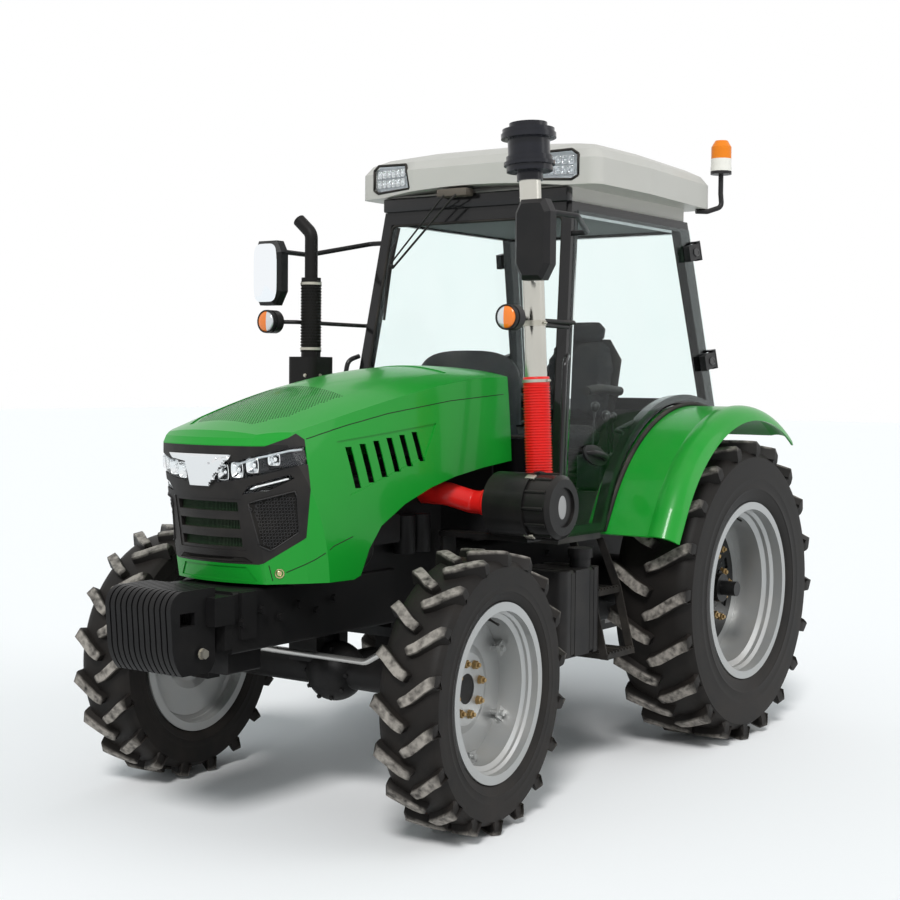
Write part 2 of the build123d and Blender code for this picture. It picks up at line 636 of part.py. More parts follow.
# mask: one moulding with the openings of the lamps, the light strips and the grille
mask_depth = 26
MASK_INNER = ((-1760, 985 + seat_gap), (-1565, 985 + seat_gap), (-1445 - seat_gap, 1080 + seat_gap),
              (-1445 - seat_gap, 1430 - seat_gap), (-1480, 1452 - seat_gap), (-1590, 1408 - seat_gap),
              (-1760, 1408 - seat_gap))
LAMP = ((70, 1276), (66, 1346), (170, 1356), (306, 1406), (330, 1392), (322, 1342), (238, 1308), (160, 1288))
STRIP = ((168, 1236), (192, 1266), (294, 1308), (306, 1294), (246, 1252))
SIDE_INSERT = ((186, 1206), (306, 1248), (302, 1098), (236, 1036), (208, 1056))
# grille: slots between its bars, as (foot, head), and the wider dark slot of the chin below them
GRILLE_SLOTS = ((1046, 1080), (1110, 1144), (1174, 1208))
grille_half = 162
grille_low, grille_high = 1034, 1220
GRILLE_FRAME = ((-grille_half, grille_low), (grille_half, grille_low), (grille_half, grille_high),
                (-grille_half, grille_high))
chin = ((-150, 1010), (150, 1010), (178, 992), (-178, 992))

mask_zone_inner = across(side_face(MASK_INNER), -500, 500)
mask_core = bonnet_body(mask_depth)
front_mask = (bonnet_outer - mask_core) & mask_zone_inner
front_mask -= ahead(GRILLE_FRAME)
insert_skin = bonnet_outer - bonnet_body(10)
for side in (1, -1):
    for outline in (LAMP, STRIP):
        front_mask -= ahead([(side * x, z) for x, z in outline])
    front_mask -= ahead([(side * x, z) for x, z in SIDE_INSERT]) & insert_skin
front_mask -= ahead(chin) & insert_skin
front_mask = max(front_mask.solids(), key=lambda s: s.volume)
save("front_mask", front_mask)

lamp_inset = 3
lamp_skin = (bonnet_body(lamp_inset) - mask_core) & mask_zone_inner
lamps = []
for outline in (LAMP, STRIP):
    lens = lamp_skin & ahead(outline, seat_gap)
    lens = max(lens.solids(), key=lambda s: s.volume)
    lamps.extend(both(lens))
save("headlamps", lamps)

grille = (bonnet_body(lamp_inset) - mask_core) & ahead(GRILLE_FRAME, seat_gap, y1=-1500)
for foot, head in GRILLE_SLOTS:
    grille -= ahead([(18 - grille_half, foot), (grille_half - 18, foot), (grille_half - 18, head), (18 - grille_half, head)])
save("grille", max(grille.solids(), key=lambda s: s.volume))

# ---------------------------------------------------------------- cab
def leaned(solid, side=1):
    """Lean a piece drawn upright against the cab's side inwards, about the sill."""
    return solid.rotate(Axis((side * cab_side_x, 0, cab_sill_z), (0, 1, 0)), -side * cab_lean)


def fender_arc_z(y, radius):
    return rear_axle_z + sqrt(radius ** 2 - (y - rear_axle_y) ** 2)


def rear_post_y(z):
    """Rear edge of the cab's side at a height."""
    return cab_rear_top_y + rear_slope * (cab_top_z - z)


rear_axle_z = rear_tyre_radius
frame_foot = 12                                  # the side frame stands this far above the fender's crest
arch_radius = fender_radius + frame_foot
rear_slope = (cab_rear_foot_y - cab_rear_top_y) / (cab_top_z - fender_arc_z(cab_rear_foot_y, arch_radius))


def side_outline(front, top, rear, arch, sill):
    """The cab's side in side view, each edge drawn in by its own amount; the lower rear follows the fender."""
    arch_r = arch_radius + arch
    top_z = cab_top_z - top
    sill_z = cab_sill_z + sill
    lean_front = (cab_front_top_y - cab_front_foot_y) / (cab_top_z - cab_sill_z)
    front_low = (cab_front_foot_y + front + lean_front * (sill_z - cab_sill_z), sill_z)
    front_top = (cab_front_top_y + front + lean_front * (top_z - cab_top_z), top_z)
    rear_top = (rear_post_y(top_z) - rear, top_z)
    low_y = cab_rear_foot_y - rear
    rear_low = (low_y, fender_arc_z(low_y, arch_r))
    turn = radians(fender_front_angle)
    mid = (rear_axle_y - arch_r * sin(turn / 3), rear_axle_z + arch_r * cos(turn / 3))
    arc_end = (rear_axle_y - arch_r * sin(turn), rear_axle_z + arch_r * cos(turn))
    run = (arc_end[1] - sill_z) / sin(turn)
    foot = (arc_end[0] - run * cos(turn), sill_z)
    return Plane.YZ * make_face([Line(front_low, front_top), Line(front_top, rear_top), Line(rear_top, rear_low),
                                 ThreePointArc(rear_low, mid, arc_end), Line(arc_end, foot), Line(foot, front_low)])


side_frame = across(side_outline(0, 0, 0, 0, 0), cab_side_x - cab_frame_depth, cab_side_x)
side_frame -= across(side_outline(post_width, post_width, rear_post_width, rail_width, rail_width),
                     cab_side_x - 2 * cab_frame_depth, cab_side_x + 50)
side_frame = leaned(side_frame) - block(0, 800, -500, 1600, cab_sill_z - 100, cab_sill_z)

# cross members between the two sides
header_half = cab_side_at(cab_top_z) - cab_frame_depth / 2
foot_half = cab_side_at(1300) - cab_frame_depth / 2
header = block(-header_half, header_half, cab_front_top_y - 10, cab_front_top_y + 50, cab_top_z - 60, cab_top_z)
rear_header = block(-header_half, header_half, cab_rear_top_y - 50, cab_rear_top_y, cab_top_z - 60, cab_top_z)
cab_frame = side_frame + mirror(side_frame, Plane.YZ) + header + rear_header
cowl_depth = 35
cowl = block(-foot_half, foot_half, cowl_face_y, cowl_face_y + cowl_depth, cab_sill_z, cowl_top_z)
cab_frame += cowl
rear_sill_z = fender_arc_z(cab_rear_foot_y - 60, arch_radius)
rear_beam = block(-foot_half, foot_half, cab_rear_foot_y - 60, cab_rear_foot_y - 14, rear_sill_z, rear_sill_z + 60)
cab_frame += rear_beam

door_gap = 4


def hinge_plane(z):
    """The left door's hinge axis at a height: origin on the axis, its z along the pin, its x outwards."""
    def point(height):
        return Vector(cab_side_at(height) + door_gap + glass + hinge_out, rear_post_y(height) + hinge_back, height)
    pin_dir = point(z + 100) - point(z)
    return Plane(origin=point(z), x_dir=(cos(radians(cab_lean)), 0, sin(radians(cab_lean))), z_dir=pin_dir)


barrel_half = 36
ear_rise = 10
for z in hinge_heights:
    plane = hinge_plane(z)
    fixed = plane * Cylinder(hinge_pin_radius, 2 * (barrel_half + ear_rise))
    for up in (1, -1):
        ear_z = up * (barrel_half + seat_gap + ear_rise / 2)
        fixed += plane * Pos(0, 0, ear_z) * Cylinder(13, ear_rise)
        fixed += plane * Pos(-hinge_out - 14, -6, ear_z) * Box(2 * hinge_out + 28, 26, ear_rise)
        fixed += plane * Pos(-hinge_out - 34, -30, ear_z) * Box(30, 40, ear_rise)
    pane_room = leaned(across(side_outline(0, 0, -5, 0, 0), cab_side_x, cab_side_x + 14))
    fixed -= pane_room
    cab_frame += [fixed, mirror(fixed, Plane.YZ)]
# rest of the stowed top link
cab_frame += block(-24, 24, cab_rear_foot_y - 20, top_end_y - top_link_eye - seat_gap, top_end_z - rest_half,
                   top_end_z + rest_half)
save("cab_frame", cab_frame)

# floor and the lower walls between the rear wheels
floor_thickness = 25
deck_z = 1150                     # the raised deck under the seat
deck_front_y = 430
deck_rear_y = 1150
tub_wall = 12
tub_x = fender_inner_x
floor_top = cab_sill_z - seat_gap
floor_low = floor_top - floor_thickness
skirt_foot_y = rear_axle_y - arch_radius * sin(radians(fender_front_angle)) - 80
floor = block(-cab_side_x, cab_side_x, cab_front_foot_y, skirt_foot_y - 20, floor_low, floor_top)
rear_inner = cab_rear_foot_y - 14
deck = side_face([(skirt_foot_y - 25, floor_low), (deck_front_y + floor_thickness, floor_low),
                  (deck_front_y + floor_thickness, deck_z - floor_thickness),
                  (deck_rear_y, deck_z - floor_thickness), (rear_inner, rear_sill_z - seat_gap),
                  (rear_inner - floor_thickness, rear_sill_z - seat_gap), (deck_rear_y - floor_thickness / 2, deck_z),
                  (deck_front_y, deck_z), (deck_front_y, floor_top), (skirt_foot_y - 25, floor_top)])
floor += across(deck, -tub_x, tub_x)
under_fender = fender_radius - fender_thickness - seat_gap
arc_start = rear_axle_y - sqrt(under_fender ** 2 - (floor_top - rear_axle_z) ** 2)
wall_end_z = fender_arc_z(rear_inner, under_fender)
wall_face = Plane.YZ * make_face([
    ThreePointArc((arc_start, floor_top), (rear_axle_y, rear_axle_z + under_fender), (rear_inner, wall_end_z)),
    Line((rear_inner, wall_end_z), (deck_rear_y, deck_z - 20)), Line((deck_rear_y, deck_z - 20), (deck_front_y + 30, deck_z - 20)),
    Line((deck_front_y + 30, deck_z - 20), (deck_front_y + 30, floor_low)), Line((deck_front_y + 30, floor_low), (arc_start, floor_low)),
    Line((arc_start, floor_low), (arc_start, floor_top))])
for x0 in (-tub_x, tub_x - tub_wall):
    floor += across(wall_face, x0, x0 + tub_wall)
for side in (1, -1):
    floor += rod((side * 110, -90, case_top_z + seat_gap), (side * 110, -90, floor_low + 5), 42)
    column = rod((side * 340, rear_axle_y, rear_tyre_radius), (side * 340, rear_axle_y, deck_z - 20), 42)
    floor += column - rod((side * 200, rear_axle_y, rear_tyre_radius), (side * 480, rear_axle_y, rear_tyre_radius),
                          axle_housing + seat_gap)
save("cab_floor", floor)

# roof: wider over the windscreen than at the back, its front swept back to both corners
roof_front_y = -20
roof_rear_y = 1235
roof_half = 632
roof_rear_half = 565
roof_brow_half = 290             # the straight middle of the front edge
roof_sweep = 62                  # how far the corners stand behind it
roof_low_z = cab_top_z + 62
roof_top_z = cab_top_z + 266
roof_corner = 60
# height above the roof's low edge and how far the plan is drawn in there
ROOF_STATIONS = ((0, 0), (112, 0), (152, 26), (180, 78), (roof_top_z - roof_low_z, 190))


def roof_plan(z, inset):
    """The roof's plan at a height, drawn in by some amount."""
    wide, narrow = roof_half - inset, roof_rear_half - inset
    front, rear = roof_front_y + inset, roof_rear_y - inset
    side = [(roof_brow_half, front), (wide, front + roof_sweep), (wide, 500), (narrow, rear)]
    face = make_face(Polyline(*side, *[(-x, y) for x, y in reversed(side)], close=True))
    corners = [v for v in face.vertices() if abs(v.Y - 500) > 1 and abs(v.X) > roof_brow_half + 5]
    return Pos(0, 0, z) * fillet(corners, roof_corner)


roof = loft([roof_plan(roof_low_z + rise, inset) for rise, inset in ROOF_STATIONS], ruled=True)
# the brow over the windscreen is arched from below
arch = make_face([ThreePointArc((-470, 0), (0, 26), (470, 0)), Line((470, 0), (-470, 0))])
roof -= Pos(0, roof_front_y + 150, roof_low_z) * extrude(Plane.XZ * arch, 200)
roof += block(-header_half - 8, header_half + 8, cab_front_top_y, cab_rear_top_y - 10, cab_top_z + seat_gap,
              roof_low_z + 5)
# a pod for the working lamps in each front corner, its window cut 20 deep
POD = ((330, 30), (358, 138), (556, 146), (588, 126), (588, 38), (556, 22))
pod_back = 20
sweep_run = roof_half - roof_brow_half
pod_turn = atan2(roof_sweep, sweep_run)
brow_corner = Pos(roof_brow_half, roof_front_y, roof_low_z) * Rot(0, 0, degrees(pod_turn))


def pod(depth0, depth1, inset):
    """The pod's window as a solid between two depths behind the swept front face."""
    points = [((x - roof_brow_half - 15) * 0.9 + inset * (1 if x < 450 else -1), z + inset * (1 if z < 80 else -1))
              for x, z in POD]
    face = Plane.XZ * make_face(Polyline(*points, close=True))
    return brow_corner * (Pos(0, depth1, 0) * extrude(face, depth1 - depth0))


pod_cut = pod(-30, pod_back, 0)
roof = roof - pod_cut - mirror(pod_cut, Plane.YZ)
save("roof", roof)
pod_lamp = pod(6, pod_back - seat_gap, seat_gap)
save("roof_lamps", both(pod_lamp))

# doors: one full pane each, hung at the rear edge, with its two hinge covers
pane_lap = 14                                    # the pane laps over the front post and the header
pane_inset = 12
pane = across(side_outline(post_width - pane_lap, post_width - pane_lap, 5, pane_inset, pane_inset),
              cab_side_x + door_gap, cab_side_x + door_gap + glass)
pane = leaned(pane)
save("door_left", pane)
save("door_right", mirror(pane, Plane.YZ))

hinge_leaf = 118
hinge_parts = []
for z in hinge_heights:
    plane = hinge_plane(z)
    leaf = plane * Pos(-4, -hinge_leaf / 2, 0) * Box(2 * hinge_out - 10, hinge_leaf, 2 * barrel_half)
    over_pane = leaned(block(cab_side_x - 60, cab_side_x + door_gap + glass + seat_gap, 800, 1500, 1000, 2600))
    cover = (leaf - over_pane) + plane * Cylinder(13, 2 * barrel_half)
    cover -= plane * Cylinder(hinge_pin_radius + seat_gap, 3 * barrel_half)
    hinge_parts.append(cover)
save("door_hinges_left", hinge_parts)
save("door_hinges_right", [mirror(p, Plane.YZ) for p in hinge_parts])

# windscreen and rear window, set between the posts
wind = side_face([(front_post_y(1405) + 10, 1400 + seat_gap), (front_post_y(2349) + 10, 2349),
                  (front_post_y(2349) + 10 + glass, 2349), (front_post_y(1405) + 10 + glass, 1400 + seat_gap)])


def between_sides(face, edge):
    """A pane across the cab, its ends cut to the lean of the sides."""
    solid = across(face, -700, 700)
    for side in (1, -1):
        keep_out = block(side * (cab_side_x - edge), side * (cab_side_x + 600), -600, 1800, 600, 2900)
        solid -= leaned(keep_out, side)
    return solid


windscreen = between_sides(wind, cab_frame_depth + seat_gap)
save("windscreen", windscreen)

low_z = rear_sill_z + 60 + seat_gap
rear_face = side_face([(rear_post_y(low_z) - 34, low_z), (rear_post_y(2349) - 34, 2349),
                       (rear_post_y(2349) - 34 + glass, 2349), (rear_post_y(low_z) - 34 + glass, low_z)])
save("rear_window", between_sides(rear_face, cab_frame_depth + seat_gap))


# fenders: one cross-section turned about the axle, then carried straight down in front
def fender_section():
    """The fender's section as (x, radius): flat from the cab's wall, rounded down at its outer edge."""
    t = fender_thickness
    outer = [Line((fender_inner_x, fender_radius), (fender_crest_x, fender_radius)),
             ThreePointArc((fender_crest_x, fender_radius), (fender_outer_x - 28, fender_radius - 18),
                           (fender_outer_x, fender_radius - fender_lip)),
             Line((fender_outer_x, fender_radius - fender_lip), (fender_outer_x - t, fender_radius - fender_lip)),
             ThreePointArc((fender_outer_x - t, fender_radius - fender_lip), (fender_outer_x - 28 - t * 0.8, fender_radius - 18 - t * 0.8),
                           (fender_crest_x, fender_radius - t)),
             Line((fender_crest_x, fender_radius - t), (fender_inner_x, fender_radius - t)),
             Line((fender_inner_x, fender_radius - t), (fender_inner_x, fender_radius))]
    return make_face(outer)


fender_span = fender_front_angle + fender_rear_angle
upright = Plane(origin=(0, rear_axle_y, rear_axle_z), x_dir=(1, 0, 0), z_dir=(0, -1, 0)) * fender_section()
axle_line = Axis((0, rear_axle_y, rear_axle_z), (1, 0, 0))
at_front = upright.rotate(axle_line, fender_front_angle)
at_rear = upright.rotate(axle_line, -fender_rear_angle)
curved = revolve(at_rear, axle_line, fender_span)
skirt_direction = (0, -cos(radians(fender_front_angle)), -sin(radians(fender_front_angle)))
skirt = extrude(at_front, fender_skirt, dir=skirt_direction)
fender = curved + skirt
save("fenders", both(fender))

# ---------------------------------------------------------------- inside the cab
dash_front = cowl_face_y + cowl_depth + seat_gap
dash = across(side_face([(dash_front, floor_top + seat_gap), (dash_front, cowl_top_z), (dash_front + 60, 1500),
                         (dash_front + 100, 1560), (110, 1490), (150, 1400), (60, 1300), (40, floor_top + seat_gap)]),
              -180, 180)
save("dashboard", dash)

wheel_centre = (0, 235, 1540)
column_tilt = 30
ring = Torus(190, 14)
spoke_hub = Cylinder(42, 24)
steering = ring + spoke_hub
for turn in (90, 210, 330):
    steering += Rot(0, 0, turn) * Pos(100, 0, 0) * Box(190, 26, 12)
column = Pos(0, 0, -105) * Cylinder(20, 186)
steering = Pos(*wheel_centre) * Rot(-column_tilt, 0, 0) * (steering + column)
save("steering_wheel", steering - dash)

seat_y = 700
pedestal = block(-170, 170, seat_y - 150, seat_y + 230, deck_z + seat_gap, 1320, 20, Axis.Z)
cushion = block(-240, 240, seat_y - 230, seat_y + 260, 1320, 1430, 40)
back = across(side_face([(seat_y + 170, 1425), (seat_y + 255, 1425), (seat_y + 370, 1940), (seat_y + 300, 1960)]), -220, 220)
save("driver_seat", pedestal + cushion + back)

# ---------------------------------------------------------------- air intake, exhaust, tank, steps
cleaner_y = -480
cleaner_z = 1155
cleaner_radius = 130
cleaner_inner_x = 500
cleaner_outer_x = 800
cleaner_cap_x = cleaner_outer_x - 112
cleaner = rod((cleaner_inner_x, cleaner_y, cleaner_z), (cleaner_cap_x, cleaner_y, cleaner_z), cleaner_radius)
cleaner += rod((cleaner_cap_x - 14, cleaner_y, cleaner_z), (cleaner_cap_x, cleaner_y, cleaner_z), cleaner_radius + 7)
cap = rod((cleaner_cap_x, cleaner_y, cleaner_z), (cleaner_outer_x, cleaner_y, cleaner_z), cleaner_radius - 4)
cap = chamfer(cap.edges().filter_by(GeomType.CIRCLE).sort_by(Axis.X)[-1], 16)
cap -= rod((cleaner_outer_x - 10, cleaner_y, cleaner_z), (cleaner_outer_x + 10, cleaner_y, cleaner_z), 78)
cleaner += cap
for i in range(12):
    a = radians(i * 30)
    rib_y, rib_z = cleaner_y + (cleaner_radius - 4) * cos(a), cleaner_z + (cleaner_radius - 4) * sin(a)
    cleaner += rod((cleaner_cap_x - 2, rib_y, rib_z), (cleaner_outer_x - 20, rib_y, rib_z), 7)
cleaner += block(engine_half_width + 60, 660, cleaner_y - 45, cleaner_y + 45, cleaner_z - cleaner_radius - 12,
                 cleaner_z - cleaner_radius + 8)
cleaner += block(engine_half_width + 70 + seat_gap, engine_half_width + 82, cleaner_y - 45, cleaner_y + 45,
                 cleaner_z - cleaner_radius - 80, cleaner_z - cleaner_radius)
save("air_cleaner", cleaner)

elbow_radius = 47
elbow = pipe([(cleaner_inner_x - seat_gap, cleaner_y, cleaner_z), (370, cleaner_y, cleaner_z), (290, cleaner_y - 70, cleaner_z + 35),
              (engine_half_width + seat_gap, cleaner_y - 70, cleaner_z + 35)], [60, 60], elbow_radius)
for clamp_x in (cleaner_inner_x - 40, cleaner_inner_x - 70):
    elbow += rod((clamp_x - 7, cleaner_y, cleaner_z), (clamp_x + 7, cleaner_y, cleaner_z), elbow_radius + 5)
save("intake_elbow", elbow)

# the stack stands on the cleaner's back and leans in with the cab's side
stack_x = 632
stack_y = -400
stack_foot_z = cleaner_z + 150
stack_lean = 2.9
precleaner_top_z = 2666
precleaner_height = 228
tube_top_z = precleaner_top_z - precleaner_height
hose_top_z = stack_foot_z + 355


def stack(z0, z1, radius):
    """A round piece of the intake stack between two heights."""
    upright_piece = rod((stack_x, stack_y, z0), (stack_x, stack_y, z1), radius)
    return upright_piece.rotate(Axis((stack_x, stack_y, stack_foot_z), (0, 1, 0)), -stack_lean)


hose = stack(cleaner_z + 60, hose_top_z, 50)
hose_fold_count = 7
for i in range(hose_fold_count):
    fold_z = stack_foot_z + 40 + i * 44
    hose += stack(fold_z, fold_z + 20, 56)
hose -= rod((300, cleaner_y, cleaner_z), (900, cleaner_y, cleaner_z), cleaner_radius + 7 + seat_gap)
save("intake_hose", max(hose.solids(), key=lambda s: s.center().Z))
save("intake_tube", stack(hose_top_z + seat_gap, tube_top_z, 44))
# pre-cleaner, as (height above the tube, its end's height, radius)
PRECLEANER = ((seat_gap, 40, 52), (36, 62, 92), (60, 74, 102), (72, 96, 92), (94, 176, 84), (166, 186, 110), (184, 204, 104),
              (202, precleaner_height, 76))
bowl = stack(tube_top_z + PRECLEANER[0][0], tube_top_z + PRECLEANER[0][1], PRECLEANER[0][2])
for low, high, radius in PRECLEANER[1:]:
    bowl += stack(tube_top_z + low, tube_top_z + high, radius)
save("precleaner", bowl)

exhaust_x = -478
exhaust_y = -492
exhaust_low_z = 1340
muffler_half = 75
muffler_top_z = 1740
pipe_radius = 28
guard_radius = 42                # the perforated guard round the upper pipe
muffler = block(exhaust_x - muffler_half, exhaust_x + muffler_half, exhaust_y - muffler_half, exhaust_y + muffler_half,
                exhaust_low_z, muffler_top_z, 30, Axis.Z)
exhaust = muffler + rod((exhaust_x, exhaust_y, muffler_top_z - 20), (exhaust_x, exhaust_y, 2200), pipe_radius)
exhaust += rod((exhaust_x, exhaust_y, muffler_top_z - 20), (exhaust_x, exhaust_y, 2080), guard_radius)
exhaust += pipe([(exhaust_x, exhaust_y, 2190), (exhaust_x, exhaust_y, 2270), (exhaust_x - 70, exhaust_y, 2330)],
                [50], pipe_radius)
exhaust += pipe([(exhaust_x, exhaust_y, exhaust_low_z + 10), (exhaust_x, exhaust_y, 1210),
                 (-engine_half_width - seat_gap, exhaust_y, 1210)], [60], pipe_radius)
save("exhaust", exhaust)

tank_low_z = 533
tank_top_z = 883
tank = block(470, 720, -350, -40, tank_low_z, tank_top_z, 40, Axis.Z)
for y in (-270, -122):
    # the straps that hold the tank stand in shallow grooves
    tank -= block(460, 730, y - 18, y + 18, tank_low_z - 10, tank_top_z + 10) - block(
        476, 714, y - 30, y + 30, tank_low_z + 6, tank_top_z - 6)
tank += rod((662, -120, tank_top_z - 3), (662, -120, tank_top_z + 70), 44)
tank += rod((662, -120, tank_top_z + 40), (662, -120, tank_top_z + 78), 52)
tank += block(transmission_half_width + seat_gap, 690, -320, -95, tank_low_z - 10, tank_low_z + 2)
save("fuel_tank", tank)
battery = block(-700, -470, -350, -65, 560, 850, 12, Axis.Z)
battery += block(-706, -464, -356, -59, 800, 826)
battery += block(-690, -transmission_half_width - seat_gap, -320, -95, 550, 562)
save("battery_box", battery)

# steps: two treads between two stringers hung under the cab's floor
tread_front_y = rear_axle_y - 1030
tread_depth = 232
stringer = 8
tread_thickness = 22
TREADS = ((540, 675, 768), (590, 745, 513))      # inner and outer end, top
stringer_face = Plane.XZ * make_face(Polyline((552, floor_low - seat_gap), (588, floor_low - seat_gap), (677, 772),
                                              (747, 490), (711, 490), (641, 766), close=True))
ladder = []
for y in (tread_front_y, tread_front_y + tread_depth - stringer):
    ladder.append(Pos(0, y + stringer, 0) * extrude(stringer_face, stringer))
steps = ladder[0] + ladder[1]
tooth_count = 9
tooth_pitch = tread_depth / tooth_count
for x0, x1, z in TREADS:
    steps += block(x0, x1, tread_front_y + 1, tread_front_y + tread_depth - 1, z - tread_thickness, z)
    # three openings through the tread and teeth along its outer edge
    for i in range(3):
        y = tread_front_y + 22 + i * 74
        steps -= block(x0 + 26, x1 - 26, y, y + 56, z - 2 * tread_thickness, z + 5)
    for i in range(tooth_count - 1):
        y = tread_front_y + (i + 1) * tooth_pitch
        steps += block(x1 - 12, x1, y - 7, y + 7, z - 1, z + 9)
save("steps", both(steps))

# ---------------------------------------------------------------- mirrors, lamps
mirror_x = 681
mirror_y = -531
mirror_depth = 62
post_z = 2270
post_y = front_post_y(post_z)
# side, the head's foot and top, its half-width
MIRRORS = ((1, 2034, 2346, 80), (-1, 1964, 2244, 78))
mirror_parts = []
for side, low, high, half in MIRRORS:
    arm_z = high - 40
    bend_y = mirror_y + 285
    arm = pipe([(cab_side_at(post_z) + 0.9, post_y + 18, post_z), (cab_side_at(post_z) + 70, post_y + 18, post_z),
                (mirror_x + 22, bend_y, arm_z), (mirror_x, mirror_y, arm_z), (mirror_x, mirror_y, arm_z - 60)],
               [30, 60, 25], 11)
    # the moulded shell is broad at its top and drawn in towards its foot
    outline = make_face(Polyline((mirror_x - half, low + 60), (mirror_x - half + 34, low), (mirror_x + half - 34, low),
                                 (mirror_x + half, low + 60), (mirror_x + half, high - 50), (mirror_x + half - 26, high),
                                 (mirror_x - half + 26, high), (mirror_x - half, high - 50), close=True))
    shell = Pos(0, mirror_y + mirror_depth / 2, 0) * extrude(Plane.XZ * outline, mirror_depth)
    shell = chamfer(shell.faces().sort_by(Axis.Y)[0].edges(), 18)
    piece = arm + shell
    mirror_parts.append(piece if side > 0 else mirror(piece, Plane.YZ))
save("mirrors", mirror_parts)

stalk_z = 1890
stalk_x = cab_side_at(stalk_z)
lamp_y = -625
stalk = pipe([(stalk_x + 0.8, front_post_y(stalk_z) + 18, stalk_z), (stalk_x + 26, front_post_y(stalk_z) + 18, stalk_z),
              (stalk_x + 6, lamp_y + 110, stalk_z), (617, lamp_y + 45, stalk_z)], [12, 20], 9)
lamp_disc = rod((617, lamp_y, stalk_z), (617, lamp_y + 60, stalk_z), 44)
lamp_disc += rod((617, lamp_y + 22, stalk_z), (617, lamp_y + 60, stalk_z), 50)
# the beacon stands on a bent tube from the roof's left rear corner
beacon_x = 612
beacon_y = 1240
beacon_low_z = 2640
beacon_height = 160
beacon_radius = 48
arm_radius = 12
arm_z = roof_low_z - arm_radius - seat_gap
beacon_arm = pipe([(roof_rear_half - 30, roof_rear_y - 100, arm_z), (roof_rear_half + 10, roof_rear_y - 60, arm_z),
                   (beacon_x + 6, beacon_y, arm_z + 26), (beacon_x, beacon_y, arm_z + 90),
                   (beacon_x, beacon_y, beacon_low_z)], [20, 30, 30], arm_radius)
beacon = rod((beacon_x, beacon_y, beacon_low_z), (beacon_x, beacon_y, beacon_low_z + 34), beacon_radius + 2)
beacon += rod((beacon_x, beacon_y, beacon_low_z + 30), (beacon_x, beacon_y, beacon_low_z + beacon_height - 30), beacon_radius)
beacon += Pos(beacon_x, beacon_y, beacon_low_z + beacon_height - 30) * Cone(
    beacon_radius, 30, 30, align=(Align.CENTER, Align.CENTER, Align.MIN))
save("warning_lamps", both(stalk + lamp_disc), beacon_arm + beacon)

# ---------------------------------------------------------------- drawbar and three-point linkage
def bar(start, end, width, height):
    """A flat bar between two points: width across the tractor, height in its side view."""
    a, b = Vector(*start), Vector(*end)
    run = b - a
    across_it = Vector(0, 0, 1).cross(run)
    return Plane(origin=(a + b) / 2, x_dir=across_it, z_dir=run) * Box(width, height, run.length)


drawbar_z = 415
drawbar_end_y = 1560
drawbar_pin_radius = 14
drawbar = block(-38, 38, 760, drawbar_end_y, drawbar_z - 15, drawbar_z + 15)
drawbar -= Pos(0, drawbar_end_y - 45, drawbar_z) * Cylinder(drawbar_pin_radius, 40)
drawbar += block(-60, 60, 780, 840, drawbar_z + 10, case_low_z - seat_gap)
drawbar += block(-60, 60, case_rear_y - 70, case_rear_y - 10, drawbar_z + 10, case_low_z - seat_gap)
save("drawbar", drawbar)

link_spread = 365                 # the lower link's rear eye, out from the centre line
link_eye_radius = 34
link_eye_y = end_reach - link_eye_radius
link_eye_z = 432
link_eye_bore = 14.35             # takes a 28.7 mm implement pin
link_thickness = 16
link_depth = 60
rod_foot_reach = 410              # from the link's front pin to where the lift rod meets it
rod_pin_radius = 9
rod_pin_play = 8
link_run = Vector(link_spread - link_x, link_eye_y - link_pivot_y, link_eye_z - link_pivot_z)
side_run = sqrt(link_run.Y ** 2 + link_run.Z ** 2)
share = rod_foot_reach / side_run
foot_x = link_x + share * link_run.X
foot_y = link_pivot_y + share * link_run.Y
foot_z = link_pivot_z + share * link_run.Z

arm_x = 205
arm_eye_y = 1420
arm_eye_z = 1000
arm_thickness = 24
arm_pin_radius = 11
lift_rod_x = arm_x + 29
lift_rod_radius = 15
fork_gap = 19
fork_plate = 8
fork_rise = 62

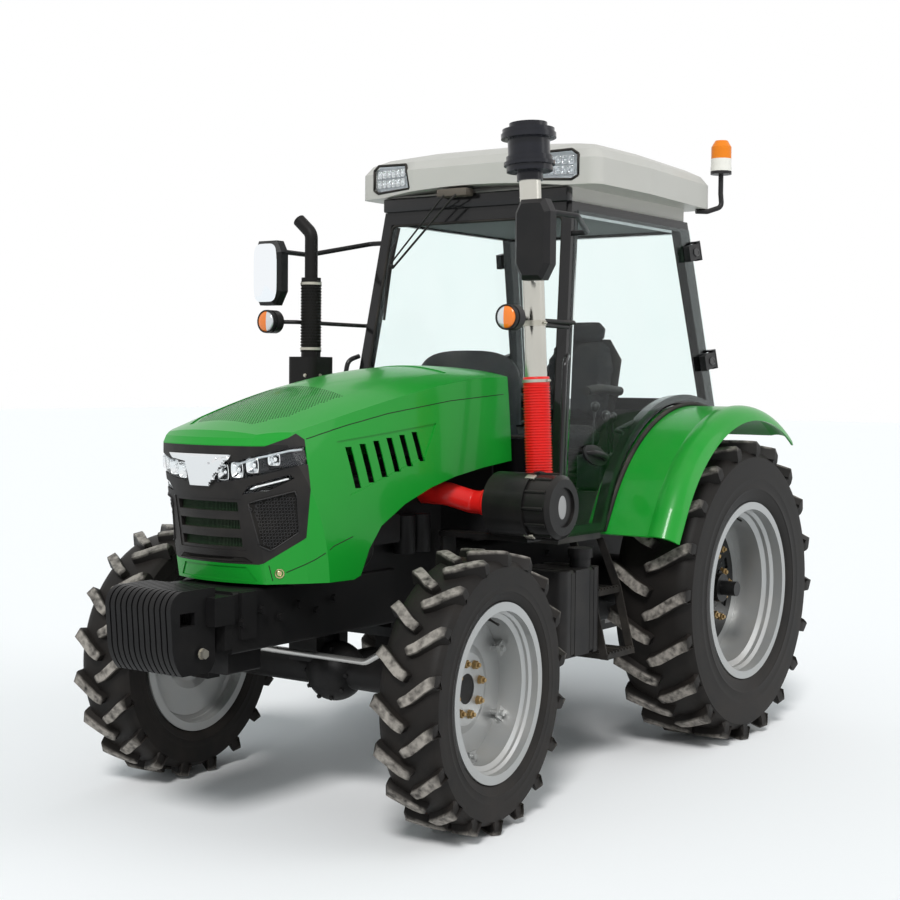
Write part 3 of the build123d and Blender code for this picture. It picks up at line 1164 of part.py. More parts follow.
arms = rod((-arm_x, arm_pivot_y, arm_pivot_z), (arm_x, arm_pivot_y, arm_pivot_z), arm_shaft_radius)
for name, side in SIDES:
    # lower link: a flat bar between its two eyes, with a wide hole for the lift rod's pin
    link = bar((side * link_x, link_pivot_y + 20, link_pivot_z - 2), (side * link_spread, link_eye_y, link_eye_z),
               link_thickness, link_depth)
    link += rod((side * (link_x - link_eye_half), link_pivot_y, link_pivot_z),
                (side * (link_x + link_eye_half), link_pivot_y, link_pivot_z), 32)
    link += rod((side * (link_spread - 22), link_eye_y, link_eye_z),
                (side * (link_spread + 22), link_eye_y, link_eye_z), link_eye_radius)
    link -= rod((side * 100, link_pivot_y, link_pivot_z), (side * 300, link_pivot_y, link_pivot_z), link_pin_radius + seat_gap)
    link -= rod((side * 300, link_eye_y, link_eye_z), (side * 450, link_eye_y, link_eye_z), link_eye_bore)
    link -= rod((side * (foot_x - 60), foot_y, foot_z), (side * (foot_x + 60), foot_y, foot_z), rod_pin_radius + rod_pin_play)
    save(f"lower_link_{name}", link)

    # lift rod: an eye on the arm's pin, a fork over the lower link
    lift_rod = rod((side * (lift_rod_x - 12), arm_eye_y, arm_eye_z), (side * (lift_rod_x + 12), arm_eye_y, arm_eye_z), 24)
    lift_rod += rod((side * lift_rod_x, arm_eye_y, arm_eye_z), (side * foot_x, foot_y, foot_z + fork_rise + 8), lift_rod_radius)
    lift_rod += block(side * (foot_x - fork_gap - fork_plate), side * (foot_x + fork_gap + fork_plate), foot_y - 20, foot_y + 20,
                      foot_z + fork_rise, foot_z + fork_rise + 18)
    for step in (-1, 1):
        inner = foot_x + step * fork_gap
        outer = foot_x + step * (fork_gap + fork_plate)
        lift_rod += block(side * inner, side * outer, foot_y - 20, foot_y + 20, foot_z - 20, foot_z + fork_rise + 2)
    lift_rod += rod((side * (foot_x - fork_gap - fork_plate), foot_y, foot_z),
                    (side * (foot_x + fork_gap + fork_plate), foot_y, foot_z), rod_pin_radius)
    lift_rod -= rod((side * (lift_rod_x - 30), arm_eye_y, arm_eye_z), (side * (lift_rod_x + 30), arm_eye_y, arm_eye_z),
                    arm_pin_radius + seat_gap)
    save(f"lift_rod_{name}", lift_rod)

    arms += rod((side * (arm_x - 20), arm_pivot_y, arm_pivot_z), (side * (arm_x + 20), arm_pivot_y, arm_pivot_z), 42)
    arms += bar((side * arm_x, arm_pivot_y, arm_pivot_z), (side * arm_x, arm_eye_y, arm_eye_z), arm_thickness, 52)
    arms += rod((side * (arm_x - 12), arm_eye_y, arm_eye_z), (side * (arm_x + 12), arm_eye_y, arm_eye_z), 28)
    arms += rod((side * arm_x, arm_eye_y, arm_eye_z), (side * (lift_rod_x + 16), arm_eye_y, arm_eye_z), arm_pin_radius)
save("lift_arms", arms)

# top link, stowed upright against its rest on the cab
top_end = (top_end_y, top_end_z)
top_link = rod((0, top_link_y, top_link_z), (0, *top_end), top_link_tube)
for y, z in ((top_link_y, top_link_z), top_end):
    top_link += rod((-top_link_half, y, z), (top_link_half, y, z), top_link_eye)
top_link -= rod((-60, top_link_y, top_link_z), (60, top_link_y, top_link_z), top_link_pin + seat_gap)
top_link -= rod((-60, *top_end), (60, *top_end), 12.85)
save("top_link", top_link)
print("part written")
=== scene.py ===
import bpy
import bmesh
from math import pi, sin, cos, tan, radians, sqrt
from mathutils import Euler, Matrix, Vector
from mathutils.bvhtree import BVHTree


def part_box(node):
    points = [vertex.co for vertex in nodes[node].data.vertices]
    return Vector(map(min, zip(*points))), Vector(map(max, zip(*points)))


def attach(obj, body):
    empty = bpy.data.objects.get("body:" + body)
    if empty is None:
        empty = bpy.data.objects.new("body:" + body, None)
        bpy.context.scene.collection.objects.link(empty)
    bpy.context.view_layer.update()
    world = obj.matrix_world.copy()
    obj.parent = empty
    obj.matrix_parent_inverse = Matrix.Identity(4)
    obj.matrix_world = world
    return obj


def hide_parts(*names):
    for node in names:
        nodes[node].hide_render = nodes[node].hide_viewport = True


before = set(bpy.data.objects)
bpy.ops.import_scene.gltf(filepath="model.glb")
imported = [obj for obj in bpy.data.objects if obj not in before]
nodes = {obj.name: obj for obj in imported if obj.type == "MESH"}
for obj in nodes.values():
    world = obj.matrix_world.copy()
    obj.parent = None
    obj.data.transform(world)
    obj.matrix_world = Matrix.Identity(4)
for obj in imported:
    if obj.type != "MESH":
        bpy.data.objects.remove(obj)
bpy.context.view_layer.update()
scene = bpy.context.scene

# ---- view, floor and light
# A photographer's studio: the camera at eye height off the tractor's left front corner, a pale seamless
# floor, one broad lamp high in front and a pale room all round.
camera_data = bpy.data.cameras.new("camera")
camera_data.lens = 63.39
camera_data.sensor_width = 36
camera = bpy.data.objects.new("camera", camera_data)
scene.collection.objects.link(camera)
camera.location = (3.977, -5.738, 1.645)
looking = Vector((-0.577, 0.815, -0.044)).normalized().to_track_quat("-Z", "Y")
camera.rotation_euler = (looking @ Euler((0, 0, 0.009)).to_quaternion()).to_euler()
scene.camera = camera
scene.view_settings.view_transform = "Standard"


def link_new(name, mesh):
    """A new object for a mesh, at the origin."""
    obj = bpy.data.objects.new(name, mesh)
    scene.collection.objects.link(obj)
    return obj


floor_mesh = bpy.data.meshes.new("floor")
floor_mesh.from_pydata([(-60, -60, 0), (60, -60, 0), (60, 60, 0), (-60, 60, 0)], [], [(0, 1, 2, 3)])
floor = link_new("floor", floor_mesh)
floor_paint = bpy.data.materials.new("seamless floor")
floor_paint.use_nodes = True
floor_shader = floor_paint.node_tree.nodes["Principled BSDF"]
floor_shader.inputs["Base Color"].default_value = (0.93, 0.93, 0.93, 1)
floor_shader.inputs["Roughness"].default_value = 0.9
floor_shader.inputs["Specular IOR Level"].default_value = 0.1
floor_mesh.materials.append(floor_paint)


def maths(tree, kind, *values):
    """The output of a Math node on numbers or sockets."""
    node = tree.nodes.new("ShaderNodeMath")
    node.operation = kind
    for value, socket in zip(values, node.inputs):
        if isinstance(value, (int, float)):
            socket.default_value = value
        else:
            tree.links.new(value, socket)
    return node.outputs[0]


world = bpy.data.worlds.new("studio")
world.use_nodes = True
scene.world = world
room = world.node_tree
room_light = room.nodes["Background"]
room_light.inputs["Strength"].default_value = 0.55
room_white = room.nodes.new("ShaderNodeBackground")
room_white.inputs["Color"].default_value = (1, 1, 1, 1)
seen = room.nodes.new("ShaderNodeLightPath")
seen_white = seen.outputs["Is Camera Ray"]
for ray in ("Is Transmission Ray", "Is Glossy Ray"):
    seen_white = maths(room, "MAXIMUM", seen_white, seen.outputs[ray])
mixed = room.nodes.new("ShaderNodeMixShader")
room.links.new(seen_white, mixed.inputs["Fac"])
room.links.new(room_light.outputs[0], mixed.inputs[1])
room.links.new(room_white.outputs[0], mixed.inputs[2])
room.links.new(mixed.outputs[0], room.nodes["World Output"].inputs["Surface"])
# paler overhead and darker towards the ground, so that paint and metal have something to mirror
sky_place = room.nodes.new("ShaderNodeTexCoord")
sky_split = room.nodes.new("ShaderNodeSeparateXYZ")
sky_ramp = room.nodes.new("ShaderNodeValToRGB")
sky_ramp.color_ramp.elements[0].position = 0.42
sky_ramp.color_ramp.elements[0].color = (0.30, 0.31, 0.33, 1)
sky_ramp.color_ramp.elements[1].position = 0.62
sky_ramp.color_ramp.elements[1].color = (0.90, 0.97, 1.0, 1)
room.links.new(sky_place.outputs["Object"], sky_split.inputs[0])
room.links.new(maths(room, "MULTIPLY_ADD", sky_split.outputs["Z"], 0.5, 0.5), sky_ramp.inputs[0])
room.links.new(sky_ramp.outputs[0], room_light.inputs["Color"])

for lamp_name, lamp_from, lamp_strength, lamp_size in (
        ("key lamp", (3.2, -6.0, 6.5), 2.1, 14), ("fill lamp", (6.0, 3.0, 4.0), 0.5, 40)):
    lamp_data = bpy.data.lights.new(lamp_name, "SUN")
    lamp_data.energy = lamp_strength
    lamp_data.angle = radians(lamp_size)
    lamp = bpy.data.objects.new(lamp_name, lamp_data)
    lamp.rotation_euler = (Vector((0, 0, 0)) - Vector(lamp_from)).to_track_quat("-Z", "Y").to_euler()
    scene.collection.objects.link(lamp)

# ---- bonnet
# The one-piece bonnet is sheet steel, deep drawn, with its louvres punched through a pressed field on each
# side. It is sprayed in a bright farm green under clear lacquer and hangs on two hinges behind the engine.


def object_noise(tree, scale, detail=2.0):
    """A noise texture on Object coordinates."""
    spot, noise = tree.nodes.new("ShaderNodeTexCoord"), tree.nodes.new("ShaderNodeTexNoise")
    noise.inputs["Scale"].default_value = scale
    noise.inputs["Detail"].default_value = detail
    tree.links.new(spot.outputs["Object"], noise.inputs["Vector"])
    return noise


def surface_group():
    """Shared surface: slow changes of tone, settled dust, and a fine grain for roughness and bump."""
    tree = bpy.data.node_groups.new("used surface", "ShaderNodeTree")
    new = tree.nodes.new
    link = tree.links.new
    for label, kind, value in (("Colour", "NodeSocketColor", (0.5, 0.5, 0.5, 1)),
                               ("Dust Colour", "NodeSocketColor", (0.42, 0.36, 0.29, 1)),
                               ("Dust", "NodeSocketFloat", 0.1), ("Mottle", "NodeSocketFloat", 0.1),
                               ("Grain Size", "NodeSocketFloat", 400.0), ("Roughness", "NodeSocketFloat", 0.4)):
        tree.interface.new_socket(label, in_out="INPUT", socket_type=kind).default_value = value
    for label, kind in (("Colour", "NodeSocketColor"), ("Roughness", "NodeSocketFloat"),
                        ("Height", "NodeSocketFloat")):
        tree.interface.new_socket(label, in_out="OUTPUT", socket_type=kind)
    given = new("NodeGroupInput")
    result = new("NodeGroupOutput")
    place = new("ShaderNodeTexCoord")

    slow, patchy, fine = object_noise(tree, 2.3, 3), object_noise(tree, 9.0, 6), object_noise(tree, 400.0, 2)
    link(given.outputs["Grain Size"], fine.inputs["Scale"])
    shape = new("ShaderNodeNewGeometry")
    normal = new("ShaderNodeSeparateXYZ")
    link(shape.outputs["Normal"], normal.inputs[0])
    spot = new("ShaderNodeSeparateXYZ")
    link(place.outputs["Object"], spot.inputs[0])
    # dust lies on what faces up and is thrown up near the ground
    upward = maths(tree, "MULTIPLY_ADD", maths(tree, "MAXIMUM", normal.outputs["Z"], 0.0), 0.65, 0.35)
    splash = maths(tree, "MAXIMUM", maths(tree, "SUBTRACT", 1.0, spot.outputs["Z"]), 0.0)
    lie = maths(tree, "MULTIPLY", maths(tree, "ADD", upward, splash),
                maths(tree, "MULTIPLY_ADD", patchy.outputs["Fac"], 2.0, -0.45))
    dust = maths(tree, "MAXIMUM", maths(tree, "MULTIPLY", lie, given.outputs["Dust"]), 0.0)
    dust = maths(tree, "MINIMUM", dust, 1.0)
    tone = maths(tree, "MULTIPLY_ADD", maths(tree, "SUBTRACT", slow.outputs["Fac"], 0.5),
                 maths(tree, "MULTIPLY", given.outputs["Mottle"], 2.0), 1.0)
    toned = new("ShaderNodeVectorMath")
    toned.operation = "SCALE"
    link(given.outputs["Colour"], toned.inputs[0])
    link(tone, toned.inputs["Scale"])
    blend = new("ShaderNodeMix")
    blend.data_type = "RGBA"
    link(dust, blend.inputs["Factor"])
    link(toned.outputs[0], blend.inputs[6])
    link(given.outputs["Dust Colour"], blend.inputs[7])
    link(blend.outputs[2], result.inputs["Colour"])
    rough = maths(tree, "ADD", given.outputs["Roughness"], maths(tree, "MULTIPLY", dust, 0.4))
    grainy = maths(tree, "MULTIPLY_ADD", maths(tree, "SUBTRACT", fine.outputs["Fac"], 0.5), 0.08, rough)
    link(grainy, result.inputs["Roughness"])
    link(fine.outputs["Fac"], result.inputs["Height"])
    return tree


used_surface = surface_group()


def finish_of(name, colour, roughness, grain=400.0, relief=0.1, dust=0.08, mottle=0.08, metallic=0.0,
              coat=0.0, specular=0.16, dust_colour=(0.42, 0.36, 0.29)):
    """A material: the shared surface in its colour, under a bump of the given relief."""
    material = bpy.data.materials.new(name)
    material.use_nodes = True
    tree = material.node_tree
    shader = tree.nodes["Principled BSDF"]
    group = tree.nodes.new("ShaderNodeGroup")
    group.node_tree = used_surface
    group.inputs["Colour"].default_value = (*colour, 1)
    group.inputs["Dust Colour"].default_value = (*dust_colour, 1)
    group.inputs["Dust"].default_value = dust
    group.inputs["Mottle"].default_value = mottle
    group.inputs["Grain Size"].default_value = grain
    group.inputs["Roughness"].default_value = roughness
    tree.links.new(group.outputs["Colour"], shader.inputs["Base Color"])
    tree.links.new(group.outputs["Roughness"], shader.inputs["Roughness"])
    bump = tree.nodes.new("ShaderNodeBump")
    bump.inputs["Strength"].default_value = relief
    bump.inputs["Distance"].default_value = 0.001
    tree.links.new(group.outputs["Height"], bump.inputs["Height"])
    tree.links.new(bump.outputs["Normal"], shader.inputs["Normal"])
    shader.inputs["Metallic"].default_value = metallic
    shader.inputs["Coat Weight"].default_value = coat
    shader.inputs["Specular IOR Level"].default_value = specular
    shader.inputs["Coat Roughness"].default_value = 0.06
    return material


def dress(material, *names):
    """Give CAD nodes a material."""
    for name in names:
        nodes[name].data.materials.clear()
        nodes[name].data.materials.append(material)


green_paint = finish_of("green paint", (0.006, 0.27, 0.022), 0.30, grain=900, relief=0.02, dust=0.015,
                        mottle=0.05, coat=0.22)
dress(green_paint, "bonnet_panel")

# ---- tyres
# Cross-ply farm tyres of black rubber, moulded with long chevron bars that throw the mud outwards. The bars'
# tops are worn grey and keep pale dust, and the side walls carry thin moulded rings.
FRONT_HUB, REAR_HUB = (0.737, -1.0, 0.515), (0.732, 1.0, 0.690)
TREADS = (
    # node, body, middle (x, y, z), tyre's width, radius, bead x, bead radius, bar height, bars a side
    ("front_tyre", "front_wheel", FRONT_HUB, 0.241, 0.515, 0.100, 0.331, 0.032, 18),
    ("rear_tyre", "rear_wheel", REAR_HUB, 0.378, 0.690, 0.165, 0.408, 0.038, 20),
)
KINGPIN = (0.645, -1.0)
steer_turn = radians(5)
MIRROR = Matrix.Diagonal((-1, 1, 1, 1))


def place(obj, material, body, slot):
    """Give a new piece its material and its body; the slot argument is not used."""
    if material is not None:
        obj.data.materials.clear()
        obj.data.materials.append(material)
    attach(obj, body)
    return obj


def shape_mesh(name, points, faces, smooth=True):
    """A mesh from points and faces, with its doubles merged and its faces turned outwards."""
    mesh = bpy.data.meshes.new(name)
    work = bmesh.new()
    corners = [work.verts.new(p) for p in points]
    for face in faces:
        work.faces.new([corners[i] for i in face])
    bmesh.ops.remove_doubles(work, verts=work.verts, dist=1e-6)
    bmesh.ops.recalc_face_normals(work, faces=work.faces)
    work.to_mesh(mesh)
    work.free()
    for polygon in mesh.polygons:
        polygon.use_smooth = smooth
    return mesh


def creased(obj, angle=35, width=0.0, segments=2):
    """Rounds a piece's sharp edges with a bevel of that width, and shades it smooth between them."""
    if width:
        bevel = obj.modifiers.new("rounded edges", "BEVEL")
        bevel.width = width
        bevel.segments = segments
        bevel.limit_method = "ANGLE"
        bevel.angle_limit = radians(angle)
        bevel.harden_normals = False
    evaluated = obj.evaluated_get(bpy.context.evaluated_depsgraph_get())
    mesh = bpy.data.meshes.new_from_object(evaluated)
    obj.modifiers.clear()
    for polygon in mesh.polygons:
        polygon.use_smooth = True
    mesh.set_sharp_from_angle(angle=radians(angle))
    obj.data = mesh
    return obj


def loft_rings(name, rings, closed=False, capped=True):
    """A skin over rings of points; closed joins the last ring to the first, capped shuts the ends."""
    count = len(rings[0])
    points = [p for ring in rings for p in ring]
    faces = []
    for i in range(len(rings) if closed else len(rings) - 1):
        a, b = i * count, ((i + 1) % len(rings)) * count
        for j in range(count):
            k = (j + 1) % count
            faces.append((a + j, a + k, b + k, b + j))
    if capped and not closed:
        faces.append(tuple(range(count)))
        faces.append(tuple(range(len(points) - count, len(points))))
    return shape_mesh(name, points, faces)


def turned(name, outline, centre, axis=(1, 0, 0), steps=48, closed=False):
    """A turned piece: an outline of (place along the axis, radius), spun about it through the centre."""
    turn = Vector(axis).normalized().to_track_quat("X", "Z")
    rings = []
    for along, radius in outline:
        ring = []
        for j in range(steps):
            a = 2 * pi * j / steps
            ring.append(Vector(centre) + turn @ Vector((along, radius * cos(a), radius * sin(a))))
        rings.append(ring)
    return loft_rings(name, rings, closed=closed, capped=not closed)


def as_one(name, meshes):
    """Several meshes in one."""
    work = bmesh.new()
    for mesh in meshes:
        work.from_mesh(mesh)
    mesh = bpy.data.meshes.new(name)
    work.to_mesh(mesh)
    work.free()
    return mesh


def moved(mesh, matrix):
    """A copy of a mesh, turned or moved; a mirrored copy keeps its faces outwards."""
    copy = mesh.copy()
    copy.transform(matrix)
    if matrix.determinant() < 0:
        copy.flip_normals()
    return copy


def fitted(name, mesh, finish, body, slot_name, angle=40, width=0.0, segments=2):
    """A finished piece: a mesh with its edges creased, in its material, on its body; the slot name is not used.
    """
    return place(creased(link_new(name, mesh), angle, width, segments), finish, body, slot_name)


def new_tree(name, sockets, made):
    """A Geometry Nodes tree with inputs (label, kind, value); gives the tree and its input node."""
    tree = bpy.data.node_groups.new(name, "GeometryNodeTree")
    for label, kind, value in sockets:
        socket = tree.interface.new_socket(label, in_out="INPUT", socket_type="NodeSocket" + kind)
        if value is not None:
            socket.default_value = value
    tree.interface.new_socket(made, in_out="OUTPUT", socket_type="NodeSocketGeometry")
    return tree, tree.nodes.new("NodeGroupInput")


def copies_at(tree, given, points, piece, turn=None):
    """Ends a tree: the piece at every point, made real and given its material."""
    new, link = tree.nodes.new, tree.links.new
    copies, real = new("GeometryNodeInstanceOnPoints"), new("GeometryNodeRealizeInstances")
    coat, result = new("GeometryNodeSetMaterial"), new("NodeGroupOutput")
    link(points, copies.inputs["Points"])
    link(piece, copies.inputs["Instance"])
    if turn is not None:
        link(turn, copies.inputs["Rotation"])
    link(copies.outputs[0], real.inputs[0])
    link(real.outputs[0], coat.inputs["Geometry"])
    link(given.outputs["Finish"], coat.inputs["Material"])
    link(coat.outputs[0], result.inputs[0])
    return tree


def around_axle_tree():
    """Copies the given piece round the X axis through the origin."""
    tree, given = new_tree("round the axle", (("Piece", "Geometry", None), ("Count", "Int", 18),
                                              ("First Angle", "Float", 0.0), ("Finish", "Material", None)),
                                              "Ring")
    line = tree.nodes.new("GeometryNodeMeshLine")
    line.inputs["Offset"].default_value = (0, 0, 0)
    tree.links.new(given.outputs["Count"], line.inputs["Count"])
    index = tree.nodes.new("GeometryNodeInputIndex")
    share = maths(tree, "DIVIDE", index.outputs[0], given.outputs["Count"])
    angles = tree.nodes.new("ShaderNodeCombineXYZ")
    tree.links.new(maths(tree, "MULTIPLY_ADD", share, 2 * pi, given.outputs["First Angle"]), angles.inputs["X"])
    return copies_at(tree, given, line.outputs[0], given.outputs["Piece"], angles.outputs[0])


def grown(name, tree, mesh, **values):
    """The plain mesh that a tree makes of a mesh with the given inputs."""
    carrier = link_new(name + "_work", mesh)
    modifier = carrier.modifiers.new("grow", "NODES")
    modifier.node_group = tree
    for item in tree.interface.items_tree:
        label = item.name.lower().replace(" ", "_")
        if item.item_type == "SOCKET" and item.in_out == "INPUT" and label in values:
            modifier[item.identifier] = values[label]
    evaluated = carrier.evaluated_get(bpy.context.evaluated_depsgraph_get())
    made = bpy.data.meshes.new_from_object(evaluated)
    made.name = name
    carrier.modifiers.remove(modifier)
    bpy.data.objects.remove(carrier)
    return made


round_axle = around_axle_tree()


def rubber_finish():
    """Black-brown rubber, grey and dusty where the piece's worn attribute says so."""
    material = finish_of("tyre rubber", (0.008, 0.0072, 0.0068), 0.52, grain=260, relief=0.35, dust=0.10,
                         mottle=0.25, dust_colour=(0.10, 0.08, 0.065))
    tree = material.node_tree
    shader = tree.nodes["Principled BSDF"]
    worn = tree.nodes.new("ShaderNodeAttribute")
    worn.attribute_name = "worn"
    scuffs = object_noise(tree, 38, 6)
    spread = tree.nodes.new("ShaderNodeMapRange")
    spread.inputs["From Min"].default_value = 0.25
    spread.inputs["From Max"].default_value = 0.62
    tree.links.new(scuffs.outputs["Fac"], spread.inputs["Value"])
    over = tree.nodes.new("ShaderNodeMix")
    over.data_type = "RGBA"
    over.inputs[7].default_value = (0.30, 0.275, 0.245, 1)
    base = shader.inputs["Base Color"].links[0].from_socket
    tree.links.new(maths(tree, "MULTIPLY", worn.outputs["Fac"], spread.outputs[0]), over.inputs["Factor"])
    tree.links.new(base, over.inputs[6])
    tree.links.new(over.outputs[2], shader.inputs["Base Color"])
    return material


tyre_rubber = rubber_finish()


def tyre_carcass(name, width, radius, bead_x, bead_radius, bar_height):
    """The tyre without its bars, about the origin: bead, side wall with its rings, shoulder and crown."""
    half, base = width / 2, radius - bar_height
    wall = base - bead_radius
    outline = [(bead_x - 0.004, bead_radius - 0.020), (bead_x, bead_radius),
               (bead_x + 0.006, bead_radius + 0.006),
               (bead_x + (half - bead_x) * 0.55, bead_radius + wall * 0.10)]
    for share, out in ((0.20, 0.80), (0.235, 0.86), (0.245, 0.93), (0.265, 0.93), (0.28, 0.88), (0.42, 0.985),
                       (0.435, 1.0), (0.455, 1.0), (0.47, 0.985), (0.62, 0.99), (0.74, 0.97), (0.84, 0.93)):
        outline.append((bead_x + (half - bead_x) * out, bead_radius + wall * share))
    for share, down in ((0.88, 0.085), (0.80, 0.04), (0.62, 0.012), (0.35, 0.0)):
        outline.append((half * share, base - wall * down))
    whole = outline + [(-x, r) for x, r in reversed(outline)]
    return turned(name, whole, (0, 0, 0), steps=96, closed=True)


def tread_bar(width, radius, bar_height, count, bead_radius):
    """One tread bar on the tyre's outer side, at the top of the wheel, and its pair on the inner side."""
    half, pitch = width / 2, 2 * pi / count
    base = radius - bar_height
    # share of the half-width, place along the tread and half-thickness in bar pitches, share of the height
    stations = ((-0.07, -0.31, 0.085, 0.90), (0.02, -0.27, 0.105, 1.0), (0.22, -0.20, 0.112, 1.0),
                (0.45, -0.075, 0.112, 1.0), (0.66, 0.045, 0.112, 1.0), (0.84, 0.135, 0.115, 0.985),
                (0.945, 0.18, 0.118, 0.93), (0.985, 0.20, 0.118, 0.45), (0.992, 0.215, 0.112, -0.35),
                (0.965, 0.225, 0.09, -1.15))
    pieces = []
    for side in (1, -1):
        rings = []
        stagger = 0 if side > 0 else 0.5 * pitch
        for i, (u, v, thick, high) in enumerate(stations):
            before, after = stations[max(i - 1, 0)], stations[min(i + 1, len(stations) - 1)]
            run = Vector(((after[0] - before[0]) * half, (after[1] - before[1]) * pitch * radius))
            run = run.normalized() if run.length > 1e-6 else Vector((1, 0))
            if u > 0.96:
                run = Vector((0.35, 1.0)).normalized() if high > 0 else Vector((0.2, 1.0)).normalized()
            cross = Vector((-run.y, run.x)) if u <= 0.96 else Vector((0, 1))
            top = base + bar_height * high
            root = min(top - 0.014, base - 0.022)
            shallow = half * 0.90 if u > 0.96 else None
            ring = []
            for step, fall in ((-1.30, 1.0), (-1.02, 0.22), (-0.86, 0.0), (0.86, 0.0), (1.02, 0.22),
                               (1.30, 1.0)):
                away = cross * step * thick * pitch * radius
                x = u * half + away.x
                if shallow is not None and fall == 1.0:
                    x = shallow
                r = top - (top - root) * fall
                a = v * pitch + away.y / radius + stagger
                ring.append((side * x, r * sin(a), r * cos(a)))
            rings.append(ring)
        pieces.append(loft_rings("bar", rings))
    return as_one("tread_bar", pieces)


def wheel_place(side, middle, steered):
    """From a wheel's own middle to its place on the tractor, for its left or right side."""
    spot = Matrix.Translation(middle)
    if steered:
        pin = Matrix.Translation((KINGPIN[0], KINGPIN[1], 0))
        turn = Matrix.Rotation(steer_turn * side, 4, "Z")
        spot = pin @ turn @ pin.inverted() @ spot
    return (MIRROR if side < 0 else Matrix.Identity(4)) @ spot


def mark_worn(mesh, low, high):
    """Writes where the bars' tops are, by their distance to the axle, before the wheel is put in place."""
    worn = mesh.attributes.new("worn", "FLOAT", "POINT")
    for i, v in enumerate(mesh.vertices):
        radius_here = sqrt(v.co.y ** 2 + v.co.z ** 2)
        worn.data[i].value = min(max((radius_here - low) / (high - low), 0.0), 1.0)


for label, body, middle, width, radius, bead_x, bead_radius, bar_height, count in TREADS:
    bar = tread_bar(width, radius, bar_height, count, bead_radius)
    bars = grown(label + "_bars", round_axle, bar, count=count, finish=tyre_rubber)
    carcass = tyre_carcass(label + "_carcass", width, radius, bead_x, bead_radius, bar_height)
    whole = as_one(label, [carcass, bars])
    mark_worn(whole, radius - 0.0035, radius - 0.0012)
    for side_name, side in (("left", 1), ("right", -1)):
        mesh = moved(whole, wheel_place(side, middle, label == "front_tyre"))
        tyre = fitted(f"{label}_{side_name}_moulded", mesh, tyre_rubber, f"{body}_{side_name}", "rubber_tyre",
                      angle=32)
        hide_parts(f"{label}_{side_name}")

# ---- rims
# Welded steel rims painted silver: rolled barrels, pressed discs, clamped together by six lugs in front. The
# nuts are zinc-passivated and rusting, the rear hub casting is black, and the deep-set rear disc round it is
# darkened with painted shade.


def masked_finish(material, colour, roughness, metallic, masks):
    """Mixes a second look into a material where every mask (socket maker) says so."""
    tree = material.node_tree
    shader = tree.nodes["Principled BSDF"]
    amount = None
    for make in masks:
        socket = make(tree)
        if amount is None:
            amount = socket
            continue
        amount = maths(tree, "MULTIPLY", amount, socket)
    over = tree.nodes.new("ShaderNodeMix")
    over.data_type = "RGBA"
    over.inputs[7].default_value = (*colour, 1)
    tree.links.new(amount, over.inputs["Factor"])
    tree.links.new(shader.inputs["Base Color"].links[0].from_socket, over.inputs[6])
    tree.links.new(over.outputs[2], shader.inputs["Base Color"])
    for label, value in (("Roughness", roughness), ("Metallic", metallic)):
        number = tree.nodes.new("ShaderNodeMix")
        number.inputs[3].default_value = value
        links = shader.inputs[label].links
        if links:
            tree.links.new(links[0].from_socket, number.inputs[2])
        else:
            number.inputs[2].default_value = shader.inputs[label].default_value
        tree.links.new(amount, number.inputs["Factor"])
        tree.links.new(number.outputs[0], shader.inputs[label])
    return material


def within_radius(y, z, radius):
    """Mask: 1 inside a radius about a line across the tractor at (y, z)."""
    def make(tree):
        spot = tree.nodes.new("ShaderNodeTexCoord")
        flat = tree.nodes.new("ShaderNodeVectorMath")
        flat.operation = "MULTIPLY"
        flat.inputs[1].default_value = (0, 1, 1)
        tree.links.new(spot.outputs["Object"], flat.inputs[0])
        far = tree.nodes.new("ShaderNodeVectorMath")
        far.operation = "DISTANCE"
        far.inputs[1].default_value = (0, y, z)
        tree.links.new(flat.outputs[0], far.inputs[0])
        return maths(tree, "LESS_THAN", far.outputs["Value"], radius)
    return make


rim_paint, rim_paint_black_hub_disc_shade = (finish_of(name, (0.40, 0.41, 0.41), 0.34, grain=700, relief=0.04, dust=0.16,
                                  mottle=0.12, metallic=0.65, coat=0.2)
                        for name in ("silver rim paint", "silver rim paint, black hub"))
dress(rim_paint, "front_rim_left", "front_rim_right")
# black within 0.292 of the rear axle: the hub casting's own black, plus painted shade over the silver disc set
# deep round it
masked_finish(rim_paint_black_hub_disc_shade, (0.008, 0.008, 0.008), 0.45, 0.0, (within_radius(1.0, 0.69, 0.292),))
dress(rim_paint_black_hub_disc_shade, "rear_rim_left", "rear_rim_right")
rusty_zinc = finish_of("rusting zinc", (0.42, 0.30, 0.14), 0.42, grain=500, relief=0.3, dust=0.35, mottle=0.5,
                       metallic=0.8, dust_colour=(0.20, 0.09, 0.035))


def hex_nut(across, height, shank=0.0, shank_out=0.0):
    """A nut on its washer along +X from the origin, with its stud's end."""
    outline = [(0, across * 0.62), (0.0025, across * 0.62), (0.0026, across * 0.5)]
    washer = turned("washer", outline + [(0.0026, 0.001)], (0, 0, 0), steps=20)
    radius = across / sqrt(3)
    rings = []
    for along, size in ((0.0026, 1.0), (height * 0.86, 1.0), (height, 0.88)):
        rings.append([(along, radius * size * cos(pi / 3 * j),
                       radius * size * sin(pi / 3 * j)) for j in range(6)])
    parts = [washer, loft_rings("nut", rings)]
    if shank:
        parts.append(turned("stud", [(height - 0.001, shank), (height + shank_out - 0.0015, shank),
                                     (height + shank_out, shank * 0.8)], (0, 0, 0), steps=14))
    return as_one("nut", parts)


